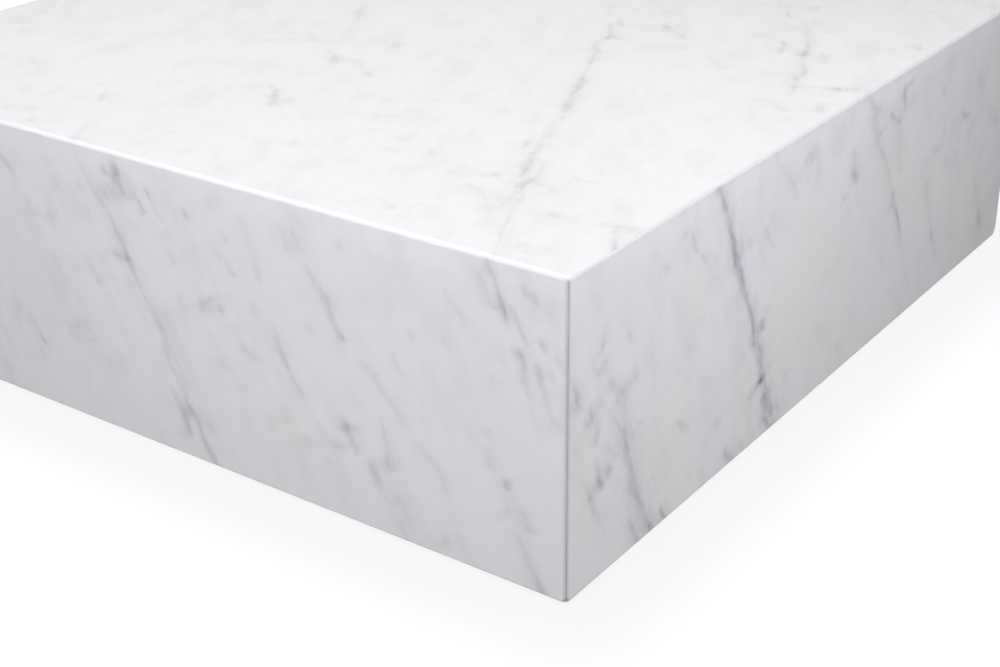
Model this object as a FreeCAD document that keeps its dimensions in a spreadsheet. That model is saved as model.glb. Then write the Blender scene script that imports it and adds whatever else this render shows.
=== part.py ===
# Square marble plinth coffee table: five polished stone slabs mitred and resin-bonded
# into an open-bottomed box, stiffened inside by a birch ply carcass, standing on four
# screw-adjustable glides that are hidden behind the stone skirt.
#
# Millimetres, +Z up. Origin on the floor under the middle of the table.
# Front is -Y, right is +X. The four sides are made once, facing front, and turned.

import FreeCAD, Part
import Sketcher
import math
import os

from FreeCAD import Placement, Rotation, Vector

doc = FreeCAD.newDocument("marble_plinth_table")

# ---------------------------------------------------------------- driving dimensions
SIZES = [
    # overall
    ("table_side", 900.0, "length and width over the polished stone"),
    ("table_height", 280.0, "floor to polished top, glides wound right in"),
    ("floor_gap", 2.0, "shadow gap between floor and stone skirt"),
    # stone
    ("slab_thick", 20.0, "all five slabs"),
    ("mitre_set", 0.5657, "each mitre face is set back this far along the outer face"),
    ("arris_top", 3.5, "rounding of the top and corner edges"),
    ("arris_foot", 2.0, "rounding of the bottom edge"),
    ("easing_radius", 691.0, "the ball that dubs the bottom corners"),
    ("easing_shift", 1.3, "its centre lies this far off the middle, away from the back right corner"),
    ("block_leg", 36.0, "stone corner block, leg along each slab"),
    ("block_low", 22.0, "underside of the corner blocks"),
    ("block_high", 256.0, "top of the corner blocks"),
    ("block_nose", 3.0, "chamfer that clears the resin squeezed out of the mitre"),
    # adhesive
    ("dab_thick", 2.0, "flexible adhesive between ply and stone"),
    ("dab_radius", 35.0, "one dab"),
    # birch ply carcass
    ("ply_thick", 18.0, "all ply"),
    ("board_clip", 41.0, "corner cut off the two boards"),
    ("base_low", 18.0, "underside of the base board"),
    ("rail_half", 388.0, "half length of a rail"),
    ("rib_place", 140.0, "rib centre line from the middle"),
    ("lap_play", 0.2, "clearance each side of a half lap"),
    # carcass screws
    ("screw_radius", 2.0, "shank of a carcass screw"),
    ("screw_head", 4.0, "radius of its countersunk head"),
    ("screw_long", 50.0, "length over all"),
    ("screw_pitch", 300.0, "outer screws along a rail, from its middle"),
    ("hole_play", 0.1, "screw hole over screw, on the radius"),
    # glides
    ("glide_place", 360.0, "glide centre from the middle, both ways"),
    ("insert_flange", 22.0, "flange radius of the threaded insert"),
    ("insert_plate", 2.5, "flange thickness"),
    ("insert_barrel", 7.0, "barrel radius"),
    ("insert_bore", 5.05, "bore, standing for the M10 thread"),
    ("insert_circle", 16.0, "radius of the insert's screw circle"),
    ("tack_radius", 1.5, "shank of an insert screw"),
    ("tack_head", 3.0, "radius of its head"),
    ("tack_long", 14.0, "length over all"),
    ("spindle_radius", 5.0, "M10 spindle"),
    ("spindle_top", 52.0, "tip of the spindle, wound in"),
    ("collar_flats", 17.0, "spanner collar across flats"),
    ("collar_low", 10.3, "underside of the collar"),
    ("collar_high", 15.0, "top of the collar"),
    ("spigot_radius", 4.0, "spigot that turns in the foot"),
    ("spigot_bead", 4.6, "snap bead on the spigot"),
    ("foot_radius", 25.0, "nylon foot"),
    ("foot_shoulder", 20.0, "foot radius at its top"),
    ("foot_high", 10.0, "top of the nylon foot"),
    ("sole_radius", 23.0, "felt sole"),
    ("sole_thick", 2.0, "felt sole"),
]

sheet = doc.addObject("Spreadsheet::Sheet", "Dims")
for row, (alias, value, note) in enumerate(SIZES, start=1):
    sheet.set("A%d" % row, alias)
    sheet.set("B%d" % row, "%g" % value)
    sheet.setAlias("B%d" % row, alias)
    sheet.set("C%d" % row, note)
doc.recompute()


class Dim:
    """A size as a number and as the formula that a property is bound to."""

    def __init__(self, value, formula):
        self.value, self.formula = float(value), formula

    def _mix(self, other, sign, turned=False):
        if not isinstance(other, Dim):
            other = Dim(other, "%g" % other)
        a, b = (other, self) if turned else (self, other)
        value = {
            "+": lambda: a.value + b.value,
            "-": lambda: a.value - b.value,
            "*": lambda: a.value * b.value,
            "/": lambda: a.value / b.value,
        }[sign]()
        return Dim(value, "(%s %s %s)" % (a.formula, sign, b.formula))

    def __add__(self, other):
        return self._mix(other, "+")

    def __radd__(self, other):
        return self._mix(other, "+", True)

    def __sub__(self, other):
        return self._mix(other, "-")

    def __rsub__(self, other):
        return self._mix(other, "-", True)

    def __mul__(self, other):
        return self._mix(other, "*")

    def __rmul__(self, other):
        return self._mix(other, "*", True)

    def __truediv__(self, other):
        return self._mix(other, "/")

    def __neg__(self):
        return Dim(-self.value, "(-1 * %s)" % self.formula)


D = {alias: Dim(value, "Dims." + alias) for alias, value, note in SIZES}
HALF = D["table_side"] / 2
INNER = HALF - D["slab_thick"]  # inner face of the side slabs
PLY_OUT = INNER - D["dab_thick"]  # outer face of the rails and boards
PLY_IN = PLY_OUT - D["ply_thick"]  # inner face of the rails
BASE_TOP = D["base_low"] + D["ply_thick"]
BOARD_TOP = D["table_height"] - D["slab_thick"] - D["dab_thick"]
BOARD_LOW = BOARD_TOP - D["ply_thick"]


def bind(obj, prop, dim):
    """Binds one property of obj to the sheet."""
    obj.setExpression(prop, dim.formula if isinstance(dim, Dim) else "%g" % dim)


def number(dim):
    return dim.value if isinstance(dim, Dim) else float(dim)


# ---------------------------------------------------------------- sketches and bodies
def new_body(name, label=None):
    body = doc.addObject("PartDesign::Body", name)
    body.Label = label or name
    return body


def plane_of(body, role):
    return [f for f in body.Origin.OriginFeatures if f.Role == role][0]


def new_sketch(body, name, role="XY_Plane", offset=None):
    """A sketch on one of the body's own origin planes, lifted along its normal."""
    sk = body.newObject("Sketcher::SketchObject", name)
    sk.AttachmentSupport = [(plane_of(body, role), "")]
    sk.MapMode = "FlatFace"
    if offset is not None:
        sk.AttachmentOffset = Placement(Vector(0, 0, number(offset)), Rotation())
        bind(sk, "AttachmentOffset.Base.z", offset)
    return sk


def pin(sk, geo, end, axis, dim):
    """Holds one point of the sketch at dim along X or Y from the sketch's origin."""
    value = number(dim)
    kind = "DistanceX" if axis == "x" else "DistanceY"
    if abs(value) < 1e-9:
        # the vertical axis has x = 0 and is geometry -2; the horizontal is -1
        sk.addConstraint(
            Sketcher.Constraint("PointOnObject", geo, end, -2 if axis == "x" else -1)
        )
        return
    if value > 0:
        k = sk.addConstraint(Sketcher.Constraint(kind, -1, 1, geo, end, value))
        bind(sk, "Constraints[%d]" % k, dim)
    else:
        k = sk.addConstraint(Sketcher.Constraint(kind, geo, end, -1, 1, -value))
        bind(sk, "Constraints[%d]" % k, -dim if isinstance(dim, Dim) else -value)


def outline(sk, corners):
    """A closed outline of straight lines, each corner pinned to the sheet."""
    first = sk.GeometryCount
    pts = [Vector(number(x), number(y), 0) for x, y in corners]
    n = len(pts)
    for i in range(n):
        sk.addGeometry(Part.LineSegment(pts[i], pts[(i + 1) % n]), False)
    for i in range(n):
        sk.addConstraint(
            Sketcher.Constraint("Coincident", first + i, 2, first + (i + 1) % n, 1)
        )
    for i, (x, y) in enumerate(corners):
        pin(sk, first + i, 1, "x", x)
        pin(sk, first + i, 1, "y", y)
    return sk


def circle(sk, x, y, radius):
    g = sk.addGeometry(
        Part.Circle(Vector(number(x), number(y), 0), Vector(0, 0, 1), number(radius)),
        False,
    )
    pin(sk, g, 3, "x", x)
    pin(sk, g, 3, "y", y)
    k = sk.addConstraint(Sketcher.Constraint("Radius", g, number(radius)))
    bind(sk, "Constraints[%d]" % k, radius)
    return g


def pad(body, sk, name, length, reverse=False, middle=False, taper=None):
    f = body.newObject("PartDesign::Pad", name)
    f.Profile = sk
    f.Length = number(length)
    bind(f, "Length", length)
    f.Reversed = reverse
    f.Midplane = middle
    if taper is not None:
        f.TaperAngle = taper
    sk.Visibility = False
    body.Tip = f
    return f


def pocket(body, sk, name, length=None, reverse=False, middle=False):
    """Cuts the profile away, and stops if nothing was cut."""
    doc.recompute()
    before = body.Tip.Shape.Volume
    f = body.newObject("PartDesign::Pocket", name)
    f.Profile = sk
    if length is None:
        f.Type = "ThroughAll"
        f.Midplane = True
    else:
        f.Type = "Length"
        f.Length = number(length)
        bind(f, "Length", length)
        f.Midplane = middle
    f.Reversed = reverse
    body.Tip = f
    doc.recompute()
    if f.Shape.isNull() or f.Shape.Volume > before - 0.1:
        raise RuntimeError("pocket %s of %s cut nothing" % (name, body.Label))
    return f


def edges_where(shape, test):
    """Names of the edges whose middle passes the test."""
    found = []
    for i, e in enumerate(shape.Edges, start=1):
        mid = e.valueAt((e.FirstParameter + e.LastParameter) / 2)
        if test(e, mid):
            found.append("Edge%d" % i)
    return found


def dress(body, kind, name, edges, prop, size):
    base = body.Tip
    f = body.newObject("PartDesign::" + kind, name)
    f.Base = (base, edges)
    setattr(f, prop, number(size))
    bind(f, prop, size)
    body.Tip = f
    doc.recompute()
    return f


def turned(obj, degrees):
    obj.Placement = Placement(Vector(0, 0, 0), Rotation(Vector(0, 0, 1), degrees))


def box(name, x, y, z, dx, dy, dz):
    b = doc.addObject("Part::Box", name)
    for prop, dim in (
        ("Length", dx),
        ("Width", dy),
        ("Height", dz),
        ("Placement.Base.x", x),
        ("Placement.Base.y", y),
        ("Placement.Base.z", z),
    ):
        bind(b, prop, dim)
    return b


def common(name, base, tool):
    c = doc.addObject("Part::Common", name)
    c.Base, c.Tool = base, tool
    return c


def cut(name, base, tool):
    c = doc.addObject("Part::Cut", name)
    c.Base, c.Tool = base, tool
    return c


SIDES = [("front", 0), ("right", 90), ("back", 180), ("left", 270)]
CORNERS = [
    ("front_right", 1, -1),
    ("back_right", 1, 1),
    ("back_left", -1, 1),
    ("front_left", -1, -1),
]
kept = []  # every sub-part, in the order that it is written

# ---------------------------------------------------------------- the polished outside
# After bonding, all outside edges are rounded in one go, across both slabs and the
# resin between them. So the rounded block is made once, and each piece is its share.
block = new_body("polished_block")
sk = new_sketch(block, "block_plan", "XY_Plane", D["floor_gap"])
outline(sk, [(-HALF, -HALF), (HALF, -HALF), (HALF, HALF), (-HALF, HALF)])
pad(block, sk, "block_height", D["table_height"] - D["floor_gap"])
doc.recompute()
low = D["floor_gap"].value
dress(
    block,
    "Fillet",
    "polished_arrises",
    edges_where(block.Tip.Shape, lambda e, m: m.z > low + 0.01),
    "Radius",
    D["arris_top"],
)
dress(
    block,
    "Fillet",
    "foot_arris",
    edges_where(
        block.Tip.Shape,
        lambda e, m: abs(m.z - low) < 0.01,
    ),
    "Radius",
    D["arris_foot"],
)
# the bottom corners are dubbed off so that they don't chip when the table is set down,
# the back right one most
ball = doc.addObject("Part::Sphere", "easing_ball")
bind(ball, "Radius", D["easing_radius"])
bind(ball, "Placement.Base.x", -D["easing_shift"])
bind(ball, "Placement.Base.y", -D["easing_shift"])
bind(ball, "Placement.Base.z", D["table_height"])
eased = common("eased_block", block, ball)
doc.recompute()

# ---------------------------------------------------------------- stone slabs
# Top: its four edges are cut at 45 degrees, set back by mitre_set for the resin.
rough_top = new_body("rough_top")
sk = new_sketch(rough_top, "top_plan", "XY_Plane", D["table_height"])
a = HALF - D["mitre_set"]
outline(sk, [(-a, -a), (a, -a), (a, a), (-a, a)])
pad(rough_top, sk, "top_thickness", D["slab_thick"], reverse=True, taper=-45.0)
doc.recompute()
top_slab = common("top_slab", eased, rough_top)
kept.append(top_slab)

side_slabs = []
for side, angle in SIDES:
    rough = new_body("rough_" + side)
    # plan: a trapezium, mitred at both ends
    sk = new_sketch(rough, side + "_plan", "XY_Plane", D["floor_gap"])
    outer, inner = HALF - D["mitre_set"], INNER - D["mitre_set"]
    outline(sk, [(-outer, -HALF), (outer, -HALF), (inner, -INNER), (-inner, -INNER)])
    pad(rough, sk, side + "_height", D["table_height"] - D["floor_gap"])
    # mitre along the top: everything nearer the top face than the front face goes
    sk = new_sketch(rough, side + "_top_mitre", "YZ_Plane")
    rim = D["table_height"] - D["mitre_set"]
    outline(
        sk,
        [
            (-HALF, rim),
            (-INNER + 2, rim - D["slab_thick"] - 2),
            (-INNER + 2, rim + 30),
            (-HALF - 30, rim + 30),
        ],
    )
    pocket(rough, sk, side + "_top_mitre_cut")
    turned(rough, angle)
    slab = common(side + "_slab", eased, rough)
    side_slabs.append(slab)
    kept.append(slab)
doc.recompute()

# ---------------------------------------------------------------- resin in the mitres
# What is left of the polished shell between the slabs is the cured resin.
cavity = box(
    "cavity",
    -INNER,
    -INNER,
    D["floor_gap"] - 10,
    INNER * 2,
    INNER * 2,
    D["table_height"] - D["slab_thick"] - D["floor_gap"] + 10,
)
shell = cut("shell", eased, cavity)
slabs = doc.addObject("Part::MultiFuse", "all_slabs")
slabs.Shapes = [top_slab] + side_slabs
resin = cut("all_resin", shell, slabs)
doc.recompute()

# the bead round the top, and the four upright beads under it
seam = D["table_height"] - D["slab_thick"] - D["mitre_set"]
ring_zone = box(
    "ring_zone",
    -HALF - 5,
    -HALF - 5,
    seam,
    HALF * 2 + 10,
    HALF * 2 + 10,
    D["slab_thick"] + 10,
)
kept.append(common("top_joint_resin", resin, ring_zone))
for corner, sx, sy in CORNERS:
    zone = box(
        corner + "_zone",
        (HALF - D["slab_thick"] - 5) if sx > 0 else (-HALF - 5),
        (HALF - D["slab_thick"] - 5) if sy > 0 else (-HALF - 5),
        D["floor_gap"] - 5,
        D["slab_thick"] + 10,
        D["slab_thick"] + 10,
        seam - D["floor_gap"] + 5,
    )
    kept.append(common("corner_joint_resin_" + corner, resin, zone))
doc.recompute()

# ---------------------------------------------------------------- stone corner blocks
# Offcuts bonded into the inner corners, so that the upright mitres can't open.
for n, (corner, angle) in enumerate(
    [("front_right", 0), ("back_right", 90), ("back_left", 180), ("front_left", 270)]
):
    body = new_body("corner_block_" + corner)
    sk = new_sketch(body, "block_plan_%d" % n, "XY_Plane", D["block_low"])
    leg, nose = D["block_leg"], D["block_nose"]
    outline(
        sk,
        [
            (INNER - leg, -INNER),
            (INNER - nose, -INNER),
            (INNER, -INNER + nose),
            (INNER, -INNER + leg),
        ],
    )
    pad(body, sk, "block_length_%d" % n, D["block_high"] - D["block_low"])
    turned(body, angle)
    kept.append(body)
doc.recompute()


# ---------------------------------------------------------------- fastener positions
def screw_spots():
    """Where the carcass screws go, in plan: three along each rail, one at each rib crossing."""
    line = PLY_OUT - D["ply_thick"] / 2
    spots = []
    for t in (-1, 0, 1):
        for s in (-1, 1):
            spots.append((D["screw_pitch"] * t, line * s))
            spots.append((line * s, D["screw_pitch"] * t))
    for sx in (-1, 1):
        for sy in (-1, 1):
            spots.append((D["rib_place"] * sx, D["rib_place"] * sy))
    return spots


def tack_spots():
    """Three small screws round each glide insert."""
    spots = []
    for corner, sx, sy in CORNERS:
        for k in range(3):
            angle = math.radians(90 + 120 * k)
            spots.append(
                (
                    D["glide_place"] * sx + D["insert_circle"] * math.cos(angle),
                    D["glide_place"] * sy + D["insert_circle"] * math.sin(angle),
                )
            )
    return spots


def drill(body, name, spots, radius, level, depth, upward):
    """Plain round holes in the body, from a level up or down."""
    sk = new_sketch(body, name + "_plan", "XY_Plane", level)
    for x, y in spots:
        circle(sk, x, y, radius)
    # a pocket cuts against the sketch's normal, so downward unless reversed
    return pocket(body, sk, name, depth, reverse=upward)


# ---------------------------------------------------------------- boards
def octagon(edge, clip):
    c = edge - clip
    return [
        (-c, -edge),
        (c, -edge),
        (edge, -c),
        (edge, c),
        (c, edge),
        (-c, edge),
        (-edge, c),
        (-edge, -c),
    ]


def countersunk(body, name, spots, radius, head, level, upward):
    """Screw holes with a 90 degree countersink at the level where the screw goes in."""
    doc.recompute()
    before = body.Tip.Shape.Volume
    sk = new_sketch(body, name + "_plan", "XY_Plane", level)
    for x, y in spots:
        circle(sk, x, y, radius)
    doc.recompute()
    h = body.newObject("PartDesign::Hole", name)
    h.Profile = sk
    doc.recompute()
    h.ThreadType = 0
    h.Diameter = 2 * number(radius)
    bind(h, "Diameter", radius * 2)
    h.HoleCutType = "Countersink"
    h.HoleCutCustomValues = True
    h.HoleCutDiameter = 2 * number(head)
    bind(h, "HoleCutDiameter", head * 2)
    h.HoleCutCountersinkAngle = 90.0
    h.DepthType = 1  # through all
    h.Reversed = upward
    body.Tip = h
    doc.recompute()
    if h.Shape.isNull() or h.Shape.Volume > before - 1:
        raise RuntimeError("hole %s of %s cut nothing" % (name, body.Label))
    return h


hole = D["screw_radius"] + D["hole_play"]
head = D["screw_head"] + D["hole_play"]

top_board = new_body("top_board")
sk = new_sketch(top_board, "top_board_plan", "XY_Plane", BOARD_LOW)
outline(sk, octagon(PLY_OUT, D["board_clip"]))
pad(top_board, sk, "top_board_thickness", D["ply_thick"])
countersunk(top_board, "top_board_holes", screw_spots(), hole, head, BOARD_TOP, False)
kept.append(top_board)

base_board = new_body("base_board")
sk = new_sketch(base_board, "base_board_plan", "XY_Plane", D["base_low"])
outline(sk, octagon(PLY_OUT, D["board_clip"]))
pad(base_board, sk, "base_board_thickness", D["ply_thick"])
countersunk(
    base_board, "base_board_holes", screw_spots(), hole, head, D["base_low"], True
)
drill(
    base_board,
    "insert_holes",
    [(D["glide_place"] * sx, D["glide_place"] * sy) for c, sx, sy in CORNERS],
    D["insert_barrel"] + D["hole_play"],
    D["base_low"] - 1,
    D["ply_thick"] + 2,
    True,
)
drill(
    base_board,
    "tack_holes",
    tack_spots(),
    D["tack_radius"] + D["hole_play"],
    D["base_low"] - 1,
    D["tack_long"] + 0.5,
    True,
)
kept.append(base_board)

# ---------------------------------------------------------------- rails and ribs
pilot_deep = D["screw_long"] - D["ply_thick"] + 1
for side, angle in SIDES:
    body = new_body(side + "_rail")
    sk = new_sketch(body, side + "_rail_plan", "XY_Plane", BASE_TOP)
    e = D["rail_half"]
    outline(sk, [(-e, -PLY_OUT), (e, -PLY_OUT), (e, -PLY_IN), (-e, -PLY_IN)])
    pad(body, sk, side + "_rail_height", BOARD_LOW - BASE_TOP)
    line = PLY_OUT - D["ply_thick"] / 2
    spots = [(D["screw_pitch"] * t, -line) for t in (-1, 0, 1)]
    drill(body, side + "_rail_low_pilots", spots, hole, BASE_TOP - 1, pilot_deep + 1, True)
    drill(body, side + "_rail_high_pilots", spots, hole, BOARD_LOW + 1, pilot_deep + 1, False)
    turned(body, angle)
    kept.append(body)

# Two ribs each way, halved over each other where they cross. Those that run left to
# right are slotted from above, and those that run front to back from below.
middle = (BASE_TOP + BOARD_LOW) / 2
for name, along, sign in (
    ("front_rib", "x", -1),
    ("back_rib", "x", 1),
    ("right_rib", "y", 1),
    ("left_rib", "y", -1),
):
    body = new_body(name)
    reach = PLY_IN - D["lap_play"]
    half_t = D["ply_thick"] / 2
    place = D["rib_place"] * sign
    sk = new_sketch(body, name + "_plan", "XY_Plane", BASE_TOP)
    if along == "x":
        outline(
            sk,
            [
                (-reach, place - half_t),
                (reach, place - half_t),
                (reach, place + half_t),
                (-reach, place + half_t),
            ],
        )
    else:
        outline(
            sk,
            [
                (place - half_t, -reach),
                (place + half_t, -reach),
                (place + half_t, reach),
                (place - half_t, reach),
            ],
        )
    pad(body, sk, name + "_height", BOARD_LOW - BASE_TOP)
    # the two slots, seen along the rib's thickness
    slot = half_t + D["lap_play"]
    if along == "x":
        lo, hi = middle - D["lap_play"], BOARD_LOW + 5
    else:
        lo, hi = BASE_TOP - 5, middle + D["lap_play"]
    sk = new_sketch(body, name + "_slots", "XZ_Plane" if along == "x" else "YZ_Plane")
    for s in (-1, 1):
        c = D["rib_place"] * s
        outline(sk, [(c - slot, lo), (c + slot, lo), (c + slot, hi), (c - slot, hi)])
    pocket(body, sk, name + "_half_laps")
    spots = [
        ((D["rib_place"] * s, place) if along == "x" else (place, D["rib_place"] * s))
        for s in (-1, 1)
    ]
    if along == "x":
        drill(body, name + "_pilots", spots, hole, BASE_TOP - 1, pilot_deep + 1, True)
    else:
        drill(body, name + "_pilots", spots, hole, BOARD_LOW + 1, pilot_deep + 1, False)
    kept.append(body)
doc.recompute()


# ---------------------------------------------------------------- turned pieces
def revolved(body, name, profile):
    """A solid of revolution about the body's own Z axis. profile is (radius, height) pairs."""
    sk = new_sketch(body, name + "_profile", "XZ_Plane")
    outline(sk, profile)
    f = body.newObject("PartDesign::Revolution", name)
    f.Profile = sk
    f.ReferenceAxis = (sk, ["V_Axis"])
    f.Angle = 360.0
    body.Tip = f
    doc.recompute()
    return f


def screw_profile(radius, head_radius, length):
    """Point up, head down, head's flat face at zero."""
    return [
        (0, 0),
        (head_radius, 0),
        (radius, head_radius - radius),
        (radius, length - radius * 1.5),
        (0, length),
    ]


def cross_recess(body, name, reach, wide, deep):
    """The driver's cross in a screw's head."""
    sk = new_sketch(body, name + "_plan", "XY_Plane")
    r, w = reach, wide
    outline(
        sk,
        [
            (-w, -r),
            (w, -r),
            (w, -w),
            (r, -w),
            (r, w),
            (w, w),
            (w, r),
            (-w, r),
            (-w, w),
            (-r, w),
            (-r, -w),
            (-w, -w),
        ],
    )
    return pocket(body, sk, name, deep, reverse=True)


def group(label, pattern, places):
    """Identical pieces as one node: copies of one finished shape."""
    f = doc.addObject("Part::Feature", label)
    copies = []
    for place in places:
        c = pattern.copy()
        c.Placement = place.multiply(pattern.Placement)
        copies.append(c)
    f.Shape = Part.makeCompound(copies)
    kept.append(f)
    return f


# carcass screw: 4 x 50 countersunk
screw = new_body("screw_pattern")
revolved(
    screw, "screw_turned", screw_profile(D["screw_radius"], D["screw_head"], D["screw_long"])
)
cross_recess(screw, "screw_cross", D["screw_radius"] * 1.1, 0.45, 1.6)
tack = new_body("tack_pattern")
revolved(tack, "tack_turned", screw_profile(D["tack_radius"], D["tack_head"], D["tack_long"]))
cross_recess(tack, "tack_cross", D["tack_radius"] * 1.1, 0.35, 1.2)
doc.recompute()

# driven up through the base board, and down through the top board
group(
    "base_board_screws",
    screw.Tip.Shape,
    [
        Placement(Vector(number(x), number(y), D["base_low"].value + 0.05), Rotation())
        for x, y in screw_spots()
    ],
)
group(
    "top_board_screws",
    screw.Tip.Shape,
    [
        Placement(
            Vector(number(x), number(y), BOARD_TOP.value - 0.05),
            Rotation(Vector(1, 0, 0), 180),
        )
        for x, y in screw_spots()
    ],
)

# ---------------------------------------------------------------- adhesive dabs
dab = doc.addObject("Part::Cylinder", "dab_pattern")
bind(dab, "Radius", D["dab_radius"])
bind(dab, "Height", D["dab_thick"])
doc.recompute()
places = []
for i in (-1, 0, 1):
    for j in (-1, 0, 1):
        places.append(Placement(Vector(250 * i, 250 * j, BOARD_TOP.value), Rotation()))
group("top_adhesive_dabs", dab.Shape, places)
for side, angle in SIDES:
    turn = Placement(Vector(), Rotation(Vector(0, 0, 1), angle))
    group(
        side + "_adhesive_dabs",
        dab.Shape,
        [
            turn.multiply(
                Placement(
                    Vector(230 * t, -PLY_OUT.value, middle.value),
                    Rotation(Vector(1, 0, 0), 90),
                )
            )
            for t in (-1, 0, 1)
        ],
    )

# ---------------------------------------------------------------- glides
for corner, sx, sy in CORNERS:
    gx, gy = D["glide_place"].value * sx, D["glide_place"].value * sy

    def at_glide(body):
        body.Placement = Placement(Vector(gx, gy, 0), Rotation())
        bind(body, "Placement.Base.x", D["glide_place"] * sx)
        bind(body, "Placement.Base.y", D["glide_place"] * sy)

    # flanged steel insert, its thread a plain bore
    body = new_body("glide_insert_" + corner)
    low = D["base_low"] - D["insert_plate"]
    revolved(
        body,
        "insert_turned_" + corner,
        [
            (D["insert_bore"], low),
            (D["insert_flange"], low),
            (D["insert_flange"], D["base_low"]),
            (D["insert_barrel"], D["base_low"]),
            (D["insert_barrel"], BASE_TOP),
            (D["insert_bore"], BASE_TOP),
        ],
    )
    spots = [
        (
            D["insert_circle"] * math.cos(math.radians(90 + 120 * k)),
            D["insert_circle"] * math.sin(math.radians(90 + 120 * k)),
        )
        for k in range(3)
    ]
    countersunk(
        body,
        "insert_holes_" + corner,
        spots,
        D["tack_radius"] + D["hole_play"],
        D["tack_head"] + D["hole_play"],
        low,
        True,
    )
    at_glide(body)
    kept.append(body)

    # spindle: plain rod for the M10 thread, spanner collar, and a spigot with a snap bead
    body = new_body("glide_spindle_" + corner)
    s, b = D["spigot_radius"], D["spigot_bead"]
    revolved(
        body,
        "spindle_turned_" + corner,
        [
            (0, 4.2),
            (s - 0.6, 4.2),
            (s, 4.8),
            (s, 5.9),
            (b, 6.3),
            (b, 6.9),
            (s, 7.3),
            (s, D["collar_low"]),
            (6, D["collar_low"]),
            (6, D["collar_high"]),
            (D["spindle_radius"], D["collar_high"]),
            (D["spindle_radius"], D["spindle_top"] - 1),
            (D["spindle_radius"] - 1, D["spindle_top"]),
            (0, D["spindle_top"]),
        ],
    )
    sk = new_sketch(body, "collar_plan_" + corner, "XY_Plane", D["collar_low"])
    across = D["collar_flats"] / math.sqrt(3)
    outline(
        sk,
        [
            (
                across * math.cos(math.radians(60 * k)),
                across * math.sin(math.radians(60 * k)),
            )
            for k in range(6)
        ],
    )
    pad(body, sk, "collar_" + corner, D["collar_high"] - D["collar_low"])
    at_glide(body)
    kept.append(body)

    # nylon foot: it stays still on the floor while the spindle turns in it
    body = new_body("glide_foot_" + corner)
    revolved(
        body,
        "foot_turned_" + corner,
        [
            (0, D["sole_thick"]),
            (D["foot_radius"] - 0.8, D["sole_thick"]),
            (D["foot_radius"], D["sole_thick"] + 0.8),
            (D["foot_radius"], D["sole_thick"] + 3),
            (D["foot_shoulder"], D["foot_high"]),
            (D["spigot_radius"] + 0.1, D["foot_high"]),
            (D["spigot_radius"] + 0.1, 7.45),
            (D["spigot_bead"] + 0.1, 7.0),
            (D["spigot_bead"] + 0.1, 6.2),
            (D["spigot_radius"] + 0.1, 5.75),
            (D["spigot_radius"] + 0.1, 4.0),
            (0, 4.0),
        ],
    )
    at_glide(body)
    kept.append(body)

    # felt sole
    body = new_body("glide_sole_" + corner)
    revolved(
        body,
        "sole_turned_" + corner,
        [
            (0, 0),
            (D["sole_radius"] - 0.4, 0),
            (D["sole_radius"], 0.4),
            (D["sole_radius"], D["sole_thick"]),
            (0, D["sole_thick"]),
        ],
    )
    at_glide(body)
    kept.append(body)
doc.recompute()

# the small screws of the inserts, heads flush with the flanges
group(
    "insert_screws",
    tack.Tip.Shape,
    [
        Placement(
            Vector(
                number(x), number(y), D["base_low"].value - D["insert_plate"].value + 0.05
            ),
            Rotation(),
        )
        for x, y in tack_spots()
    ],
)
doc.recompute()

# ---------------------------------------------------------------- checks and files
for obj in doc.Objects:
    bad = [s for s in obj.State if s in ("Invalid", "Error")]
    if bad:
        raise RuntimeError("%s is %s" % (obj.Label, bad))
for obj in kept:
    shape = obj.Shape
    if shape.isNull() or not shape.isValid() or not shape.Solids:
        raise RuntimeError("%s has no valid solid" % obj.Label)
    if min(s.Volume for s in shape.Solids) <= 0:
        raise RuntimeError("%s has an empty solid" % obj.Label)

os.makedirs("parts", exist_ok=True)
for obj in kept:
    obj.Shape.exportStep("parts/%s.step" % obj.Label)
    b = obj.Shape.BoundBox
    print(
        "%-34s %2d solid(s) %10.1f cm3  x %7.1f..%6.1f  y %7.1f..%6.1f  z %6.2f..%6.2f"
        % (
            obj.Label,
            len(obj.Shape.Solids),
            obj.Shape.Volume / 1000,
            b.XMin,
            b.XMax,
            b.YMin,
            b.YMax,
            b.ZMin,
            b.ZMax,
        )
    )
print(len(kept), "nodes")
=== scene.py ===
# Square marble plinth coffee table: finishes, floor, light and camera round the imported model.
import math

import bpy
from mathutils import Matrix, Vector

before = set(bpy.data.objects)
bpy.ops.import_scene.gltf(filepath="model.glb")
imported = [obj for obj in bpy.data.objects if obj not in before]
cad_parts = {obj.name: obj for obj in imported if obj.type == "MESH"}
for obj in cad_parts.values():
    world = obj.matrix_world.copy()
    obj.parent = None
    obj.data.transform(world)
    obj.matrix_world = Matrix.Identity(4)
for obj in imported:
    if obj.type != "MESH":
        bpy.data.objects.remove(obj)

for name in ("Cube", "Light", "Camera"):
    o = bpy.data.objects.get(name)
    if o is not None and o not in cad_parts.values():
        bpy.data.objects.remove(o)
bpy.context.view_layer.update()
scene = bpy.context.scene

# ---------------------------------------------------------------- camera
az, el, roll = math.radians(-35.758), math.radians(26.108), math.radians(-0.645)
place = Vector((1.0557, -1.3756, 0.7788))
ca, sa, ce, se = math.cos(az), math.sin(az), math.cos(el), math.sin(el)
ahead = Vector((sa * ce, ca * ce, -se))
right = Vector((ca, -sa, 0.0))
up = right.cross(ahead)
cr, sr = math.cos(roll), math.sin(roll)
cam = bpy.data.cameras.new("camera")
cam.sensor_width = 36.0
cam.lens = 61.816
cam.clip_start = 0.05
cam.clip_end = 60.0
cam_ob = bpy.data.objects.new("camera", cam)
scene.collection.objects.link(cam_ob)
m = Matrix((right * cr + up * sr, -right * sr + up * cr, -ahead)).transposed().to_4x4()
m.translation = place
cam_ob.matrix_world = m
scene.camera = cam_ob
scene.view_settings.view_transform = "Standard"
scene.view_settings.look = "None"
scene.view_settings.exposure = 0.0
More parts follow.
